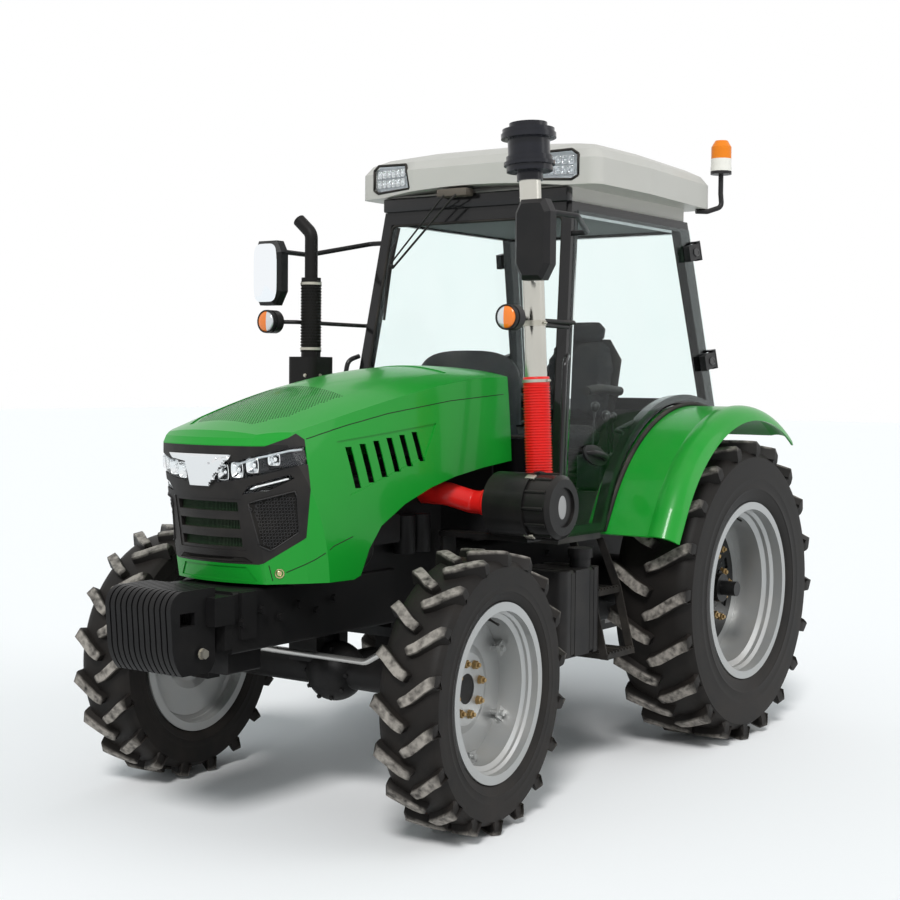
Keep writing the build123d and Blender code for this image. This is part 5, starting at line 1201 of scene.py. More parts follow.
# ---- cab
# The cab is a welded frame of pressed posts in gloss black. Glass is bonded or hinged to it over black rubber
# seals, the doors hang on two covered hinges at the back and open by a black pull handle.
frame_gloss = finish_of("cab frame black", (0.005, 0.005, 0.006), 0.22, grain=700, relief=0.06, dust=0.03,
                        mottle=0.1, coat=0.4)
dress(frame_gloss, "cab_frame")
floor_mat = finish_of("cab floor mat", (0.035, 0.036, 0.037), 0.75, grain=240, relief=0.6, dust=0.2,
                      mottle=0.15)
dress(floor_mat, "cab_floor")
cover_plastic = finish_of("black moulded plastic", (0.011, 0.011, 0.012), 0.38, grain=800, relief=0.2,
                          dust=0.04, mottle=0.12)
dress(cover_plastic, "door_hinges_left", "door_hinges_right", "bulkhead")
glass_tint = bpy.data.materials.new("tinted glass")
glass_tint.use_nodes = True
glass_tree = glass_tint.node_tree
glass_shader = glass_tree.nodes["Principled BSDF"]
glass_shader.inputs["Transmission Weight"].default_value = 1.0
glass_shader.inputs["IOR"].default_value = 1.12
glass_haze = object_noise(glass_tree, 3.0, 5)
glass_tone = glass_tree.nodes.new("ShaderNodeMix")
glass_tone.data_type = "RGBA"
glass_tone.inputs[6].default_value = (0.90, 0.972, 0.962, 1)
glass_tone.inputs[7].default_value = (0.94, 0.985, 0.98, 1)
glass_tree.links.new(glass_haze.outputs["Fac"], glass_tone.inputs["Factor"])
glass_tree.links.new(glass_tone.outputs[2], glass_shader.inputs["Base Color"])
glass_smear = glass_tree.nodes.new("ShaderNodeMapRange")
glass_smear.inputs["To Min"].default_value = 0.0
glass_smear.inputs["To Max"].default_value = 0.05
glass_tree.links.new(glass_haze.outputs["Fac"], glass_smear.inputs["Value"])
glass_tree.links.new(glass_smear.outputs[0], glass_shader.inputs["Roughness"])
dress(glass_tint, "windscreen", "rear_window", "door_left", "door_right")

seal_rubber = finish_of("seal rubber", (0.010, 0.010, 0.010), 0.6, grain=600, relief=0.3, dust=0.15)
SILL_Z, TOP_Z, SIDE_X, LEAN = 1.000, 2.410, 0.596, radians(4.0)
FRONT_FOOT_Y, FRONT_TOP_Y = -0.190, 0.055


def on_side(out, y, z):
    """A point of the cab's left side, out from its leaning outer face."""
    rise = (z - SILL_Z) / cos(LEAN)
    return Vector((SIDE_X + out * cos(LEAN) - rise * sin(LEAN), y, z + out * sin(LEAN)))


def front_edge_y(z):
    """Front edge of the cab's front post at a height."""
    return FRONT_FOOT_Y + (z - SILL_Z) / (TOP_Z - SILL_Z) * (FRONT_TOP_Y - FRONT_FOOT_Y)


# rubber seals: between fender and cab, and round the windscreen
arch_x, arch_radius, arch_end, tail_length = 0.590, 0.845 + 0.006, radians(60), 0.13
arch_line = []
for j in range(41):
    a = radians(-22) + (arch_end - radians(-22)) * j / 40
    arch_line.append((arch_x, REAR_HUB[1] - arch_radius * sin(a), REAR_HUB[2] + arch_radius * cos(a)))
foot = arch_line[-1]
for j in range(1, 9):
    along = tail_length * j / 8
    arch_line.append((arch_x, foot[1] - along * cos(arch_end), foot[2] - along * sin(arch_end)))
arch_seals = pair("arch_seals", tube_along("arch_seal", arch_line, 0.0115, steps=10, bend=0.002))
place(link_new("arch_seals", arch_seals), seal_rubber, "chassis", "black_plastic")
(low_x, low_y, low_z), (top_x, top_y, top_z) = (
    (SIDE_X - 0.047 - (z - SILL_Z) * tan(LEAN), front_edge_y(z) + 0.008, z) for z in (1.408, 2.345))
screen_seal = tube_along("screen_seal", [(low_x, low_y, low_z), (top_x, top_y, top_z), (-top_x, top_y, top_z),
                                         (-low_x, low_y, low_z), (low_x, low_y, low_z)], 0.007, steps=8,
                                         bend=0.03)
place(link_new("screen_seal", screen_seal), seal_rubber, "chassis", "black_plastic")

# door handles, inside and out, with their lock plates
handle_parts = []
handle_y, handle_z = 0.10, 1.335
grip = [on_side(0.012, handle_y - 0.055, handle_z + 0.010), on_side(0.040, handle_y - 0.040, handle_z + 0.008),
        on_side(0.045, handle_y + 0.030, handle_z - 0.004), on_side(0.038, handle_y + 0.075, handle_z - 0.018),
        on_side(0.012, handle_y + 0.090, handle_z - 0.024)]
handle_parts.append(tube_along("grip", grip, 0.0125, steps=12, bend=0.02))
plate_rings = []
for out in (0.0105, 0.020, 0.0225):
    shrink = 1.0 if out < 0.021 else 0.9
    plate_rings.append([on_side(out, handle_y + 0.015 + 0.095 * shrink * cos(2 * pi * j / 24),
                                handle_z - 0.005 + 0.042 * shrink * sin(2 * pi * j / 24)
                                - 0.018 * shrink * cos(2 * pi * j / 24)) for j in range(24)])
handle_parts.append(loft_rings("plate", plate_rings))
inner = [on_side(-0.002, handle_y + 0.30, 1.42), on_side(-0.040, handle_y + 0.30, 1.43),
         on_side(-0.040, handle_y + 0.62, 1.50), on_side(-0.002, handle_y + 0.62, 1.51)]
handle_parts.append(tube_along("pull", inner, 0.011, steps=12, bend=0.03))
handle = as_one("door_handle", handle_parts)
for side_name, mesh in (("left", handle), ("right", moved(handle, MIRROR))):
    fitted(f"door_handle_{side_name}", mesh, cover_plastic, f"door_{side_name}", "black_plastic")
# bare bosses on the hinge covers, where a badge would sit, and their screws
boss_meshes = []
hinge_surface = surface_of("door_hinges_left")
for hinge_z, hinge_y in ((2.263, 1.115), (1.748, 1.230)):
    spot, normal, _, _ = hinge_surface.ray_cast((1.2, hinge_y, hinge_z), (-1, 0, 0))
    turn_to = normal.to_track_quat("Z", "Y").to_matrix().to_4x4()
    rings = []
    for size, lift in ((1.0, -0.001), (1.0, 0.003), (0.82, 0.0042), (0.72, 0.0022)):
        rings.append([(0.031 * size * cos(2 * pi * (j + 0.5) / 6), 0.022 * size * sin(2 * pi * (j + 0.5) / 6),
                       lift)
                      for j in range(6)])
    boss = loft_rings("boss", rings)
    boss.transform(Matrix.Translation(spot) @ turn_to)
    boss_meshes.append(boss)
boss_half = as_one("hinge_bosses", boss_meshes)
for side_name, mesh in (("left", boss_half), ("right", moved(boss_half, MIRROR))):
    fitted(f"hinge_bosses_{side_name}", mesh, frame_gloss, f"door_{side_name}", "black_plastic", 30)
# grab bars by the doors, bolted to the front posts
grab = [on_side(0.012, front_edge_y(z) - 0.002, z) for z in (1.14, 1.75)]
rail = tube_along("rail", [grab[0], grab[0] + Vector((0.020, -0.055, 0.02)),
                           grab[1] + Vector((0.020, -0.055, -0.02)),
                           grab[1]], 0.011, steps=12, bend=0.04)
place(link_new("grab_rails", pair("grab_rails", rail)), frame_gloss, "chassis", "frame_black")

# wiper: two parallel arms from the brow to a blade on the windscreen


def slab(name, low, high):
    """A rectangular block between two corners, for pieces whose edges are rounded afterwards."""
    (x0, y0, z0), (x1, y1, z1) = low, high
    points = [(x, y, z) for z in (z0, z1) for y in (y0, y1) for x in (x0, x1)]
    faces = ((0, 1, 3, 2), (4, 5, 7, 6), (0, 1, 5, 4), (2, 3, 7, 6), (0, 2, 6, 4), (1, 3, 7, 5))
    return shape_mesh(name, points, faces, smooth=False)


wiper_black = finish_of("wiper black", (0.012, 0.012, 0.012), 0.4, grain=500, relief=0.1, dust=0.1)


def on_screen(x, z, off=0.012):
    """A point just in front of the windscreen."""
    return Vector((x, front_edge_y(z) + 0.010 - off, z))


wiper_parts = [
    tube_along("arm", [(-0.045, -0.030, 2.458), (-0.06, -0.040, 2.44), on_screen(-0.405, 2.150, 0.030)],
               0.0050),
    tube_along("arm", [(-0.110, -0.030, 2.458), (-0.12, -0.040, 2.44), on_screen(-0.425, 2.165, 0.030)],
               0.0040),
    tube_along("blade", [on_screen(-0.412, 2.335, 0.006), on_screen(-0.432, 2.15, 0.010),
                         on_screen(-0.440, 1.915, 0.006)], 0.0060),
    tube_along("holder", [on_screen(-0.418, 2.26, 0.020), on_screen(-0.428, 2.16, 0.030),
                          on_screen(-0.436, 2.02, 0.020)], 0.0045),
    turned("knuckle", [(-0.012, 0.008), (-0.009, 0.011), (0.009, 0.011), (0.012, 0.008)],
           on_screen(-0.415, 2.157, 0.030),
           axis=(0, 1, 0), steps=20)]
fitted("wiper", as_one("wiper", wiper_parts), wiper_black, "chassis", "black_plastic")
mount_brown = finish_of("wiper mount", (0.10, 0.085, 0.07), 0.5, grain=500, relief=0.2, dust=0.2)
fitted("wiper_mount", slab("wiper_mount", (-0.150, -0.032, 2.452), (0.010, 0.030, 2.486)), mount_brown,
       "chassis",
       "black_plastic", 30, width=0.006)
# black header under the brow
fitted("screen_header", slab("screen_header", (-0.490, 0.026, 2.405), (0.490, 0.075, 2.468)), frame_gloss,
       "chassis",
       "frame_black", 30, width=0.008)

# ---- roof and its work lamps
# The roof is one moulding of pale grey-beige plastic, slightly grained and dusty on top, with a work lamp let
# into each front corner behind a dark gasket.
roof_plastic = finish_of("roof plastic", (0.50, 0.49, 0.455), 0.40, grain=1000, relief=0.15, dust=0.20,
                         mottle=0.06, dust_colour=(0.42, 0.40, 0.36))
dress(roof_plastic, "roof")
POD = ((0.313, 2.503), (0.338, 2.609), (0.511, 2.617), (0.5395, 2.597), (0.5395, 2.511), (0.511, 2.495))
POD_MIDDLE = (0.426, 2.556)
pod_surface = surface_of("roof_lamps")
pod_cover, pod_bowl = (creased(laid_sheet(name, POD, pod_surface, lift, thickness, pitch=0.05, from_y=-1.0), 40)
                       for name, lift, thickness in (("pod_cover", 0.0, 0.002), ("pod_bowl", -0.012, 0.001)))
gasket_meshes = []
for k in range(len(POD)):
    corner_line = []
    for x, z in (POD[k], POD[(k + 1) % len(POD)]):
        away_x, away_z = x - POD_MIDDLE[0], z - POD_MIDDLE[1]
        spot, _ = hit_front(pod_surface, POD_MIDDLE[0] + away_x * 0.985, POD_MIDDLE[1] + away_z * 0.985, -1.0)
        corner_line.append(Vector((POD_MIDDLE[0] + away_x * 1.02, spot.y - 0.003,
                                   POD_MIDDLE[1] + away_z * 1.03)))
    gasket_meshes.append(tube_along("gasket", corner_line, 0.0062, steps=8))
pod_modules = []
for row in range(2):
    for i in range(6):
        x, z = 0.358 + 0.030 * i, 2.534 + 0.043 * row
        spot, normal = hit_front(pod_surface, x, z, -1.0)
        pod_modules.append(reflector_module(spot - normal * 0.011, normal, 0.027, 0.036, bulb=0.004))
for name, mesh, finish in (("work_lamp_covers", pod_cover.data, clear_cover),
                           ("work_lamp_bowls", pod_bowl.data, guide_white),
                           ("work_lamp_gaskets", as_one("gaskets", gasket_meshes), seal_rubber),
                           ("work_lamp_modules", as_one("pod_modules", pod_modules), bright_reflector)):
    piece = place(link_new(name, pair(name, mesh)), finish, "chassis", "lamp_lens")
    if name == "work_lamp_covers":
        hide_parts("roof_lamps")
for leftover in (pod_cover, pod_bowl):
    bpy.data.objects.remove(leftover)

# ---- fenders
# Fenders are pressed sheet, painted with the bonnet, with a rolled edge and a row of bolts to the cab.
fender_green = finish_of("fender green", (0.006, 0.27, 0.022), 0.30, grain=900, relief=0.02, dust=0.04,
                         mottle=0.06, coat=0.22)
dress(fender_green, "fenders")

# ---- inside the cab
# The dashboard is moulded plastic with a hooded cluster; the seat is foam under cloth on a sprung base, and
# a console with levers stands on either side of it.
dash_plastic = finish_of("dash plastic", (0.014, 0.016, 0.020), 0.50, grain=900, relief=0.3, dust=0.1,
                         mottle=0.1)
dress(dash_plastic, "dashboard", "steering_wheel")
hood_rings = []
for y, wide, top in ((-0.080, 0.245, 1.535), (-0.062, 0.262, 1.620), (-0.034, 0.272, 1.735),
                     (0.005, 0.272, 1.776), (0.042, 0.262, 1.764), (0.052, 0.250, 1.745)):
    ring = []
    for j in range(21):
        a = pi * j / 20
        ring.append((wide * (abs(cos(a)) ** 0.7) * (1 if a < pi / 2 else -1), y,
                     1.455 + (top - 1.455) * sin(a) ** 0.30))
    hood_rings.append(ring)
fitted("dash_hood", loft_rings("dash_hood", hood_rings), dash_plastic, "chassis", "interior_grey")
seat_cloth = finish_of("seat cloth", (0.020, 0.022, 0.026), 0.80, grain=700, relief=0.9, dust=0.12, mottle=0.2)


def rounded_ring(centre, half_a, half_b, axis_a, axis_b, steps=32, square=0.55):
    """A rounded rectangle of points in a plane."""
    ring = []
    for j in range(steps):
        t = 2 * pi * j / steps
        ca, sa = cos(t), sin(t)
        ring.append(Vector(centre) + Vector(axis_a) * half_a * abs(ca) ** square * (1 if ca >= 0 else -1)
                    + Vector(axis_b) * half_b * abs(sa) ** square * (1 if sa >= 0 else -1))
    return ring


def stuffed(name, rings, cap):
    """A foam pad in its cover: the cut shape swollen by pressure in a cloth simulation, then kept."""
    pad = link_new(name, loft_rings(name, rings))
    even = pad.modifiers.new("even", "REMESH")
    even.mode = "VOXEL"
    even.voxel_size = 0.007
    pad.data = bpy.data.meshes.new_from_object(pad.evaluated_get(bpy.context.evaluated_depsgraph_get()))
    pad.modifiers.clear()
    before = [v.co.copy() for v in pad.data.vertices]
    cloth = pad.modifiers.new("cover", "CLOTH")
    cloth.settings.quality = 5
    cloth.settings.use_pressure = True
    cloth.settings.uniform_pressure_force = 4
    cloth.settings.tension_stiffness = 12
    cloth.settings.compression_stiffness = 12
    cloth.settings.effector_weights.gravity = 0
    cloth.point_cache.frame_start = 1
    cloth.point_cache.frame_end = 20
    for frame_number in range(1, 21):
        scene.frame_set(frame_number)
    swollen = bpy.data.meshes.new_from_object(pad.evaluated_get(bpy.context.evaluated_depsgraph_get()))
    pad.modifiers.clear()
    pad.data = swollen
    for v, start in zip(swollen.vertices, before):
        shift = v.co - start
        if shift.length > cap:
            v.co = start + shift.normalized() * cap
    scene.frame_set(1)
    for polygon in pad.data.polygons:
        polygon.use_smooth = True
    pad.data.materials.clear()
    pad.data.materials.append(seat_cloth)
    return place(pad, None, "chassis", "seat_fabric")


seat_y, deck_z = 0.700, 1.150
cushion_rings = []
for z, half_x, half_y in ((1.335, 0.185, 0.200), (1.345, 0.212, 0.222), (1.375, 0.216, 0.226),
                          (1.400, 0.212, 0.222),
                          (1.412, 0.185, 0.200)):
    cushion_rings.append(rounded_ring((0, seat_y + 0.005, z), half_x, half_y, (1, 0, 0), (0, 1, 0)))
seat_cushion = stuffed("seat_cushion", cushion_rings, 0.024)
back_up = Vector((0, 0.115, 0.515)).normalized()
back_out = Vector((0, -back_up.z, back_up.y))
PADS = (
    # name, rings (place up the back, half width, half thickness), place to the rear, most swelling, fill
    ("seat_back", ((0.02, 0.150, 0.022), (0.05, 0.190, 0.030), (0.16, 0.205, 0.034), (0.30, 0.200, 0.033),
                   (0.40, 0.165, 0.028), (0.435, 0.120, 0.020)), 0.205, 0.022, 0.8),
    ("head_rest", ((0.425, 0.085, 0.018), (0.445, 0.112, 0.026), (0.490, 0.112, 0.028), (0.520, 0.080, 0.018)),
     0.209, 0.012, 0.7),
)
for name, stations, rearward, cap, fill in PADS:
    stuffed(name, [rounded_ring(Vector((0, seat_y + rearward, 1.425)) + back_up * along, half_x, half_t,
                                (1, 0, 0),
                                back_out) for along, half_x, half_t in stations], cap)
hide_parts("driver_seat")
seat_shell = finish_of("seat shell", (0.018, 0.018, 0.018), 0.5, grain=700, relief=0.25, dust=0.15)
bellows_rings = []
fold_count = 5
for i in range(fold_count * 2 + 1):
    z = deck_z + 0.022 + (1.310 - deck_z - 0.022) * i / (fold_count * 2)
    swell = 0.0 if i % 2 else 0.014
    bellows_rings.append(rounded_ring((0, seat_y + 0.035, z), 0.140 + swell, 0.160 + swell, (1, 0, 0),
                                      (0, 1, 0)))
seat_base = [loft_rings("bellows", bellows_rings),
             loft_rings("foot", [rounded_ring((0, seat_y + 0.035, z), 0.170 - d, 0.190 - d, (1, 0, 0),
                                              (0, 1, 0))
                                 for z, d in ((deck_z + 0.001, 0), (deck_z + 0.020, 0),
                                              (deck_z + 0.024, 0.006))]),
             loft_rings("pan", [rounded_ring((0, seat_y + 0.01, z), 0.205 - d, 0.215 - d, (1, 0, 0), (0, 1, 0))
                                for z, d in ((1.305, 0.03), (1.312, 0.0), (1.334, 0.0))]),
             loft_rings("shell", [rounded_ring(Vector((0, seat_y + 0.2425, 1.400)) + back_up * along, half_x,
                                               0.009, (1, 0, 0), back_out)
                                  for along, half_x in ((0.0, 0.14), (0.08, 0.200), (0.36, 0.205),
                                                        (0.46, 0.13))])]
for side in (1, -1):
    seat_base.append(tube_along("armrest", [(side * 0.255, seat_y + 0.215, 1.600),
                                            (side * 0.258, seat_y + 0.02, 1.612),
                                            (side * 0.256, seat_y - 0.10, 1.600)], 0.022, steps=14, bend=0.05))
    seat_base.append(tube_along("strut", [(side * 0.215, seat_y + 0.235, 1.560),
                                          (side * 0.255, seat_y + 0.215, 1.600)], 0.010))
fitted("seat_base", as_one("seat_base", seat_base), seat_shell, "chassis", "black_plastic")
lever_black = finish_of("lever knobs", (0.02, 0.02, 0.02), 0.3, grain=500, relief=0.05, dust=0.05, coat=0.4)
lever_parts = []
for x, y, lean_y, tall in ((0.34, 0.52, 0.02, 0.20), (0.38, 0.60, -0.03, 0.16), (0.34, 0.70, 0.00, 0.15),
                           (-0.33, 0.46, -0.05, 0.22)):
    top = (x, y + lean_y, 1.33 + tall)
    lever_parts.append(tube_along("rod", [(x, y, 1.31), (x, y + lean_y * 0.5, 1.33 + tall * 0.5), top], 0.006))
    lever_parts.append(turned("knob", [(-0.022, 0.008), (-0.012, 0.017), (0.006, 0.021), (0.018, 0.016),
                                       (0.023, 0.004)],
                              top, axis=(0, 0, 1), steps=20))
fitted("console_levers", as_one("console_levers", lever_parts), lever_black, "chassis", "interior_grey", 45)
console_parts = []
for side, front_y, rear_y, height in ((1, 0.45, 0.98, 1.315), (-1, 0.40, 0.98, 1.305)):
    x0, x1 = side * 0.290, side * 0.430
    console_parts.append(slab("console", (min(x0, x1), front_y, 1.152), (max(x0, x1), rear_y, height)))
fitted("side_consoles", as_one("side_consoles", console_parts), dash_plastic, "chassis", "interior_grey", 30,
       width=0.020, segments=3)
# roof lining with its air vents
lining_grey = finish_of("roof lining", (0.16, 0.17, 0.17), 0.75, grain=500, relief=0.5, dust=0.05)
fitted("roof_lining", slab("roof_lining", (-0.47, 0.11, 2.362), (0.47, 1.060, 2.398)), lining_grey, "chassis",
       "interior_grey", 30, width=0.014, segments=3)

# ---- air intake
# A red silicone elbow leads from the engine to the air cleaner's drum; a pleated red hose, a bright tube and
# the precleaner stand on it, strapped to the cab's post.
red_silicone = finish_of("red silicone", (0.72, 0.012, 0.010), 0.32, grain=500, relief=0.10, dust=0.06,
                         mottle=0.10, coat=0.25)
dress(red_silicone, "intake_elbow")
bright_tube = finish_of("bright tube", (0.56, 0.55, 0.50), 0.18, grain=140, relief=0.12, dust=0.10, mottle=0.2,
                        metallic=1.0)
dress(bright_tube, "intake_tube")
drum_black = finish_of("air cleaner black", (0.006, 0.006, 0.0065), 0.30, grain=600, relief=0.15, dust=0.05,
                       mottle=0.12)
dress(drum_black, "air_cleaner")
precleaner_black = finish_of("precleaner black", (0.006, 0.007, 0.012), 0.26, grain=600, relief=0.08, dust=0.04,
                             mottle=0.1, coat=0.3)
dress(precleaner_black, "precleaner")
tube_low, tube_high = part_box("intake_tube")
tube_way = Vector((-0.0506, 0, 1)).normalized()
tube_base = Vector((tube_high[0] - 0.044, -0.400, tube_low[2]))
pleat_count = 34
pleat = 0.372 / pleat_count
hose_outline = [(-0.4440, 0.0515), (-0.4400, 0.0530), (-0.4120, 0.0530), (-0.4060, 0.0500)]
for i in range(pleat_count):
    along = -0.404 + i * pleat
    hose_outline.extend([(along + 0.20 * pleat, 0.0495), (along + 0.45 * pleat, 0.0545),
                         (along + 0.75 * pleat, 0.0545),
                         (along + pleat, 0.0495)])
hose_outline.extend([(-0.0280, 0.0530), (0.0010, 0.0530), (0.0030, 0.0515), (0.0030, 0.0450),
                     (-0.4440, 0.0450)])
hose_mesh = turned("pleated_hose", hose_outline, tube_base, axis=tube_way, steps=56, closed=True)
hose = fitted("pleated_hose", hose_mesh, red_silicone, "chassis", "red_rubber", 50)
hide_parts("intake_hose")


def clamp_band(name, centre, axis, radius, body, slot_name="steel", width=0.011):
    """A worm-drive hose clamp: a thin band and its screw housing."""
    band = turned("band", [(-width / 2, radius - 0.001), (-width / 2, radius + 0.0012),
                           (width / 2, radius + 0.0012),
                           (width / 2, radius - 0.001)], centre, axis=axis, steps=40, closed=True)
    turn = Vector(axis).normalized().to_track_quat("X", "Z").to_matrix().to_4x4()
    screw = turned("screw", [(-0.012, 0.004), (-0.009, 0.0052), (0.009, 0.0052), (0.012, 0.004)], (0, 0, 0),
                   axis=(0, 1, 0), steps=12)
    screw.transform(Matrix.Translation(centre) @ turn @ Matrix.Translation((0, 0, radius + 0.004)))
    return fitted(name, as_one(name, [band, screw]), zinc, body, slot_name, 35)


for name, along, radius in (("hose_clamp_top", -0.013, 0.0542), ("hose_clamp_foot", -0.426, 0.0542),
                            ("tube_strap", 0.215, 0.0455)):
    clamp_band(name, tube_base + tube_way * along, tube_way, radius, "chassis",
               width=0.022 if name == "tube_strap" else 0.012)
strap_arm = tube_along("strap_arm", [tube_base + tube_way * 0.215 + Vector((-0.03, 0.035, 0)),
                                     (0.560, -0.30, 1.872),
                                     (0.545, -0.045, 1.872)], 0.010)
place(link_new("tube_bracket", strap_arm), cover_plastic, "chassis", "black_plastic")
# catches round the air cleaner's cap and a plain disc in its middle
cleaner_y, cleaner_z = -0.480, 1.155
catches = []
for a in (0.5, 2.6, 4.7):
    catch = slab("catch", (0.664, -0.013, 0.129), (0.706, 0.013, 0.1375))
    catch.transform(Matrix.Translation((0, cleaner_y, cleaner_z)) @ Matrix.Rotation(a, 4, "X"))
    catches.append(catch)
fitted("cleaner_catches", as_one("cleaner_catches", catches), zinc, "chassis", "steel", 30, width=0.002)
disc_grey = finish_of("plain disc", (0.30, 0.30, 0.30), 0.45, grain=500, relief=0.1, dust=0.15)
disc_spot, _, _, _ = surface_of("air_cleaner").ray_cast((1.4, cleaner_y, cleaner_z), (-1, 0, 0))
disc_mesh = turned("cleaner_disc", [(-0.001, 0.046), (0.0015, 0.046), (0.002, 0.044), (0.002, 0.001)],
                   disc_spot, steps=40)
flattened = Matrix.Diagonal((1, 0.62, 1, 1))
disc_mesh.transform(Matrix.Translation(disc_spot) @ flattened @ Matrix.Translation(-disc_spot))
fitted("cleaner_disc", disc_mesh, disc_grey, "chassis", "black_plastic")

# ---- exhaust
# The muffler is rolled steel under heat-proof black, with a punched guard round the pipe above it; the guard's
# holes are discs of painted shade.
heat_black = finish_of("heat-proof black", (0.006, 0.0055, 0.0055), 0.50, grain=420, relief=0.4, dust=0.07,
                       mottle=0.25, dust_colour=(0.08, 0.06, 0.05))
dress(heat_black, "exhaust")
guard_x, guard_y, guard_radius = -0.478, -0.492, 0.0425
guard_cells = []
guard_count = 26
for row in range(24):
    for i in range(guard_count):
        a = 2 * pi * (i + (0.5 if row % 2 else 0)) / guard_count
        z = 1.765 + row * 0.0128
        way = Vector((cos(a), sin(a), 0))
        guard_cells.append((Vector((guard_x, guard_y, z)) + way * (guard_radius + 0.001), way))
# near-black discs of painted shade stand for the guard's holes
guard_hole_shade_paint = finish_of("guard holes", (0.002, 0.002, 0.002), 0.9, grain=300, relief=0.05)
guard_mesh = grown("guard_holes", punched, points_facing("guard_holes", guard_cells), hole=0.0036, corners=10,
                   sink=0.0024, finish=guard_hole_shade_paint)
place(link_new("guard_holes", guard_mesh), guard_hole_shade_paint, "chassis", "frame_black")
for name, z in (("guard_clamp_low", 1.775), ("guard_clamp_high", 2.055)):
    clamp_band(name, (guard_x, guard_y, z), (0, 0, 1), 0.0440, "chassis")
bolts("muffler_bolts", [((guard_x + 0.035, guard_y - 0.0765, z), (0, -1, 0)) for z in (1.40, 1.66)]
      + [((guard_x + 0.0765, guard_y - 0.03, z), (1, 0, 0)) for z in (1.40, 1.66)], 0.012, 0.007, zinc,
      "chassis",
      "frame_black")

# ---- tank, battery box and steps
# The fuel tank is blow-moulded black plastic held by two steel straps; battery and tools sit in a box on the
# other side. The steps are punched, toothed steel on narrow stringers.
tank_plastic = finish_of("tank plastic", (0.008, 0.008, 0.009), 0.36, grain=520, relief=0.3, dust=0.05,
                         mottle=0.15)
dress(tank_plastic, "fuel_tank", "battery_box")
step_black = finish_of("step black", (0.007, 0.007, 0.0075), 0.40, grain=420, relief=0.3, dust=0.10, mottle=0.2)
dress(step_black, "steps")
STRAP = ((0.474, 0.540), (0.474, 0.876), (0.484, 0.884), (0.706, 0.884), (0.7195, 0.872), (0.7195, 0.545))
strap_half, strap_sheet = 0.014, 0.0015
strap_meshes = []
for y in (-0.270, -0.122):
    strap_meshes.append(loft_rings("strap", [
        [(x, y - strap_half, z), (x, y + strap_half, z), (x - strap_sheet, y + strap_half, z - strap_sheet),
         (x - strap_sheet, y - strap_half, z - strap_sheet)] for x, z in STRAP]))
fitted("tank_straps", as_one("tank_straps", strap_meshes), linkage_black, "chassis", "frame_black", 30)

# ---- mirrors, indicators and beacon
# Mirrors are glass in black shells on bent arms. Round indicators have an amber and a clear half; the beacon
# is an amber dome over a pale base on a bent stalk.
dress(cover_plastic, "mirrors")
mirror_glass = finish_of("mirror glass", (0.90, 0.93, 0.96), 0.02, grain=100, relief=0.0, dust=0.02,
                         mottle=0.01, metallic=1.0)


def mirror_pane(name, centre, half_x, half_z, y0, y1):
    """A mirror's glass: a pane with well-rounded corners."""
    rings = []
    for y, grow in ((y0, 0.97), (y0 + 0.0008, 1.0), (y1, 1.0)):
        rings.append(rounded_ring((centre[0], y, centre[1]), half_x * grow, half_z * grow, (1, 0, 0), (0, 0, 1),
                                  steps=40, square=0.42))
    return fitted(name, loft_rings(name, rings), mirror_glass, "chassis", "steel")


mirror_pane("mirror_glass_right", (-0.681, 2.104), 0.066, 0.126, -0.5635, -0.5615)
mirror_pane("mirror_glass_left", (0.683, 2.190), 0.066, 0.142, -0.4985, -0.5005)


def between(axis, low, high):
    """Mask: 1 where the place along an axis (0 to 2) lies between two values."""
    def make(tree):
        spot = tree.nodes.new("ShaderNodeTexCoord")
        split = tree.nodes.new("ShaderNodeSeparateXYZ")
        tree.links.new(spot.outputs["Object"], split.inputs[0])
        return maths(tree, "COMPARE", split.outputs[axis], (low + high) / 2, (high - low) / 2)
    return make


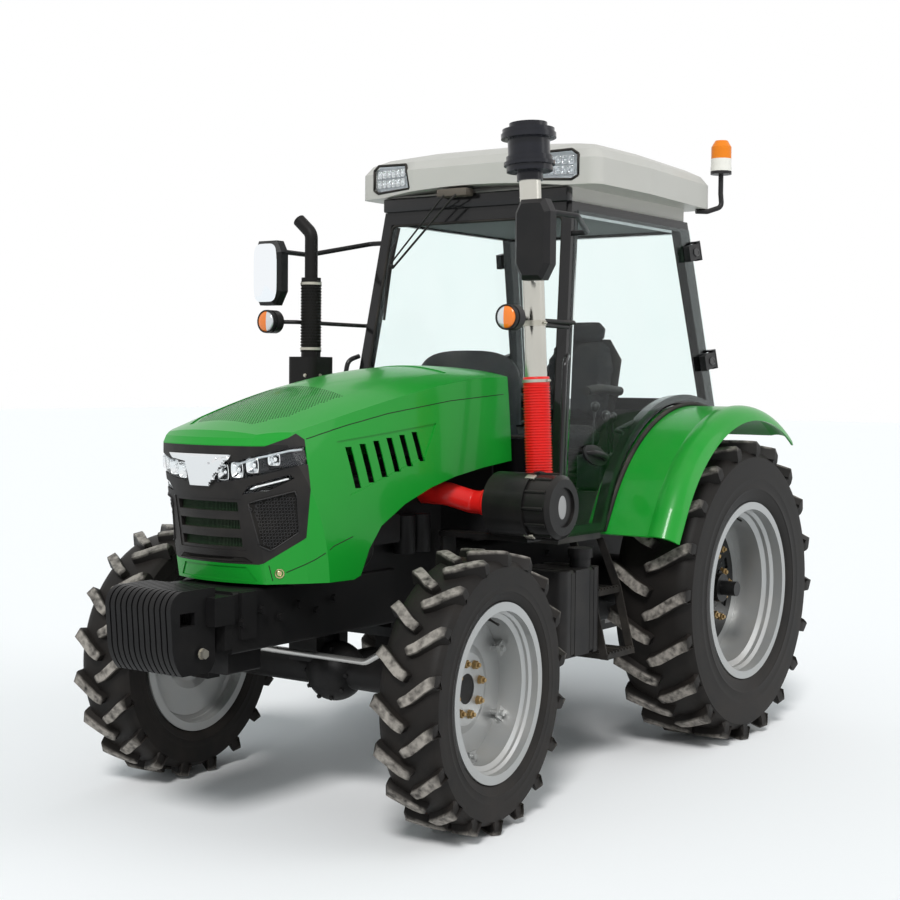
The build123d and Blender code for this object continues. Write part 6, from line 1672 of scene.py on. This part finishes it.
indicator_black = finish_of("lamp housings", (0.014, 0.014, 0.016), 0.38, grain=700, relief=0.15, dust=0.1)
base_z, dome_z = 2.655, 2.714
beacon_y = between(1, 1.12, 1.40)
masked_finish(indicator_black, (0.80, 0.22, 0.015), 0.16, 0.0, (beacon_y, between(2, dome_z, 3.0)))
masked_finish(indicator_black, (0.78, 0.76, 0.70), 0.35, 0.0, (beacon_y, between(2, base_z, dome_z)))
dress(indicator_black, "warning_lamps")
amber_lens = finish_of("amber lens", (0.86, 0.20, 0.008), 0.14, grain=160, relief=0.8, dust=0.02, mottle=0.3,
                       coat=1.0)
clear_lens = finish_of("clear lens", (0.66, 0.68, 0.70), 0.12, grain=160, relief=0.8, dust=0.02, mottle=0.3,
                       metallic=0.4, coat=1.0)
INDICATOR = (0.617, -0.6235, 1.890)
dome = turned("dome", [(0.0, 0.0435), (0.004, 0.0425), (0.008, 0.036), (0.0105, 0.024), (0.0115, 0.010),
                       (0.0118, 0.001)], INDICATOR, axis=(0, -1, 0), steps=48)
rim_ring = turned("rim", [(-0.010, 0.0435), (0.0045, 0.0435), (0.006, 0.0465), (0.004, 0.0495),
                          (-0.010, 0.0505)],
                  INDICATOR, axis=(0, -1, 0), steps=48, closed=True)
for label, finish, keep_outer in (("amber", amber_lens, True), ("clear", clear_lens, False)):
    work = bmesh.new()
    work.from_mesh(dome)
    cut = bmesh.ops.bisect_plane(work, geom=work.verts[:] + work.edges[:] + work.faces[:],
                                 plane_co=(0.610, 0, 0),
                                 plane_no=(1, 0, 0), clear_inner=keep_outer, clear_outer=not keep_outer)
    bmesh.ops.holes_fill(work, edges=[e for e in cut["geom_cut"] if isinstance(e, bmesh.types.BMEdge)])
    half_dome = bpy.data.meshes.new(label)
    bmesh.ops.recalc_face_normals(work, faces=work.faces[:])
    work.to_mesh(half_dome)
    work.free()
    fitted(f"indicator_{label}", pair(f"indicator_{label}", half_dome), finish, "chassis",
           "amber_lens" if label == "amber" else "lamp_lens", 50)
fitted("indicator_rims", pair("indicator_rims", rim_ring), cover_plastic, "chassis", "black_plastic")
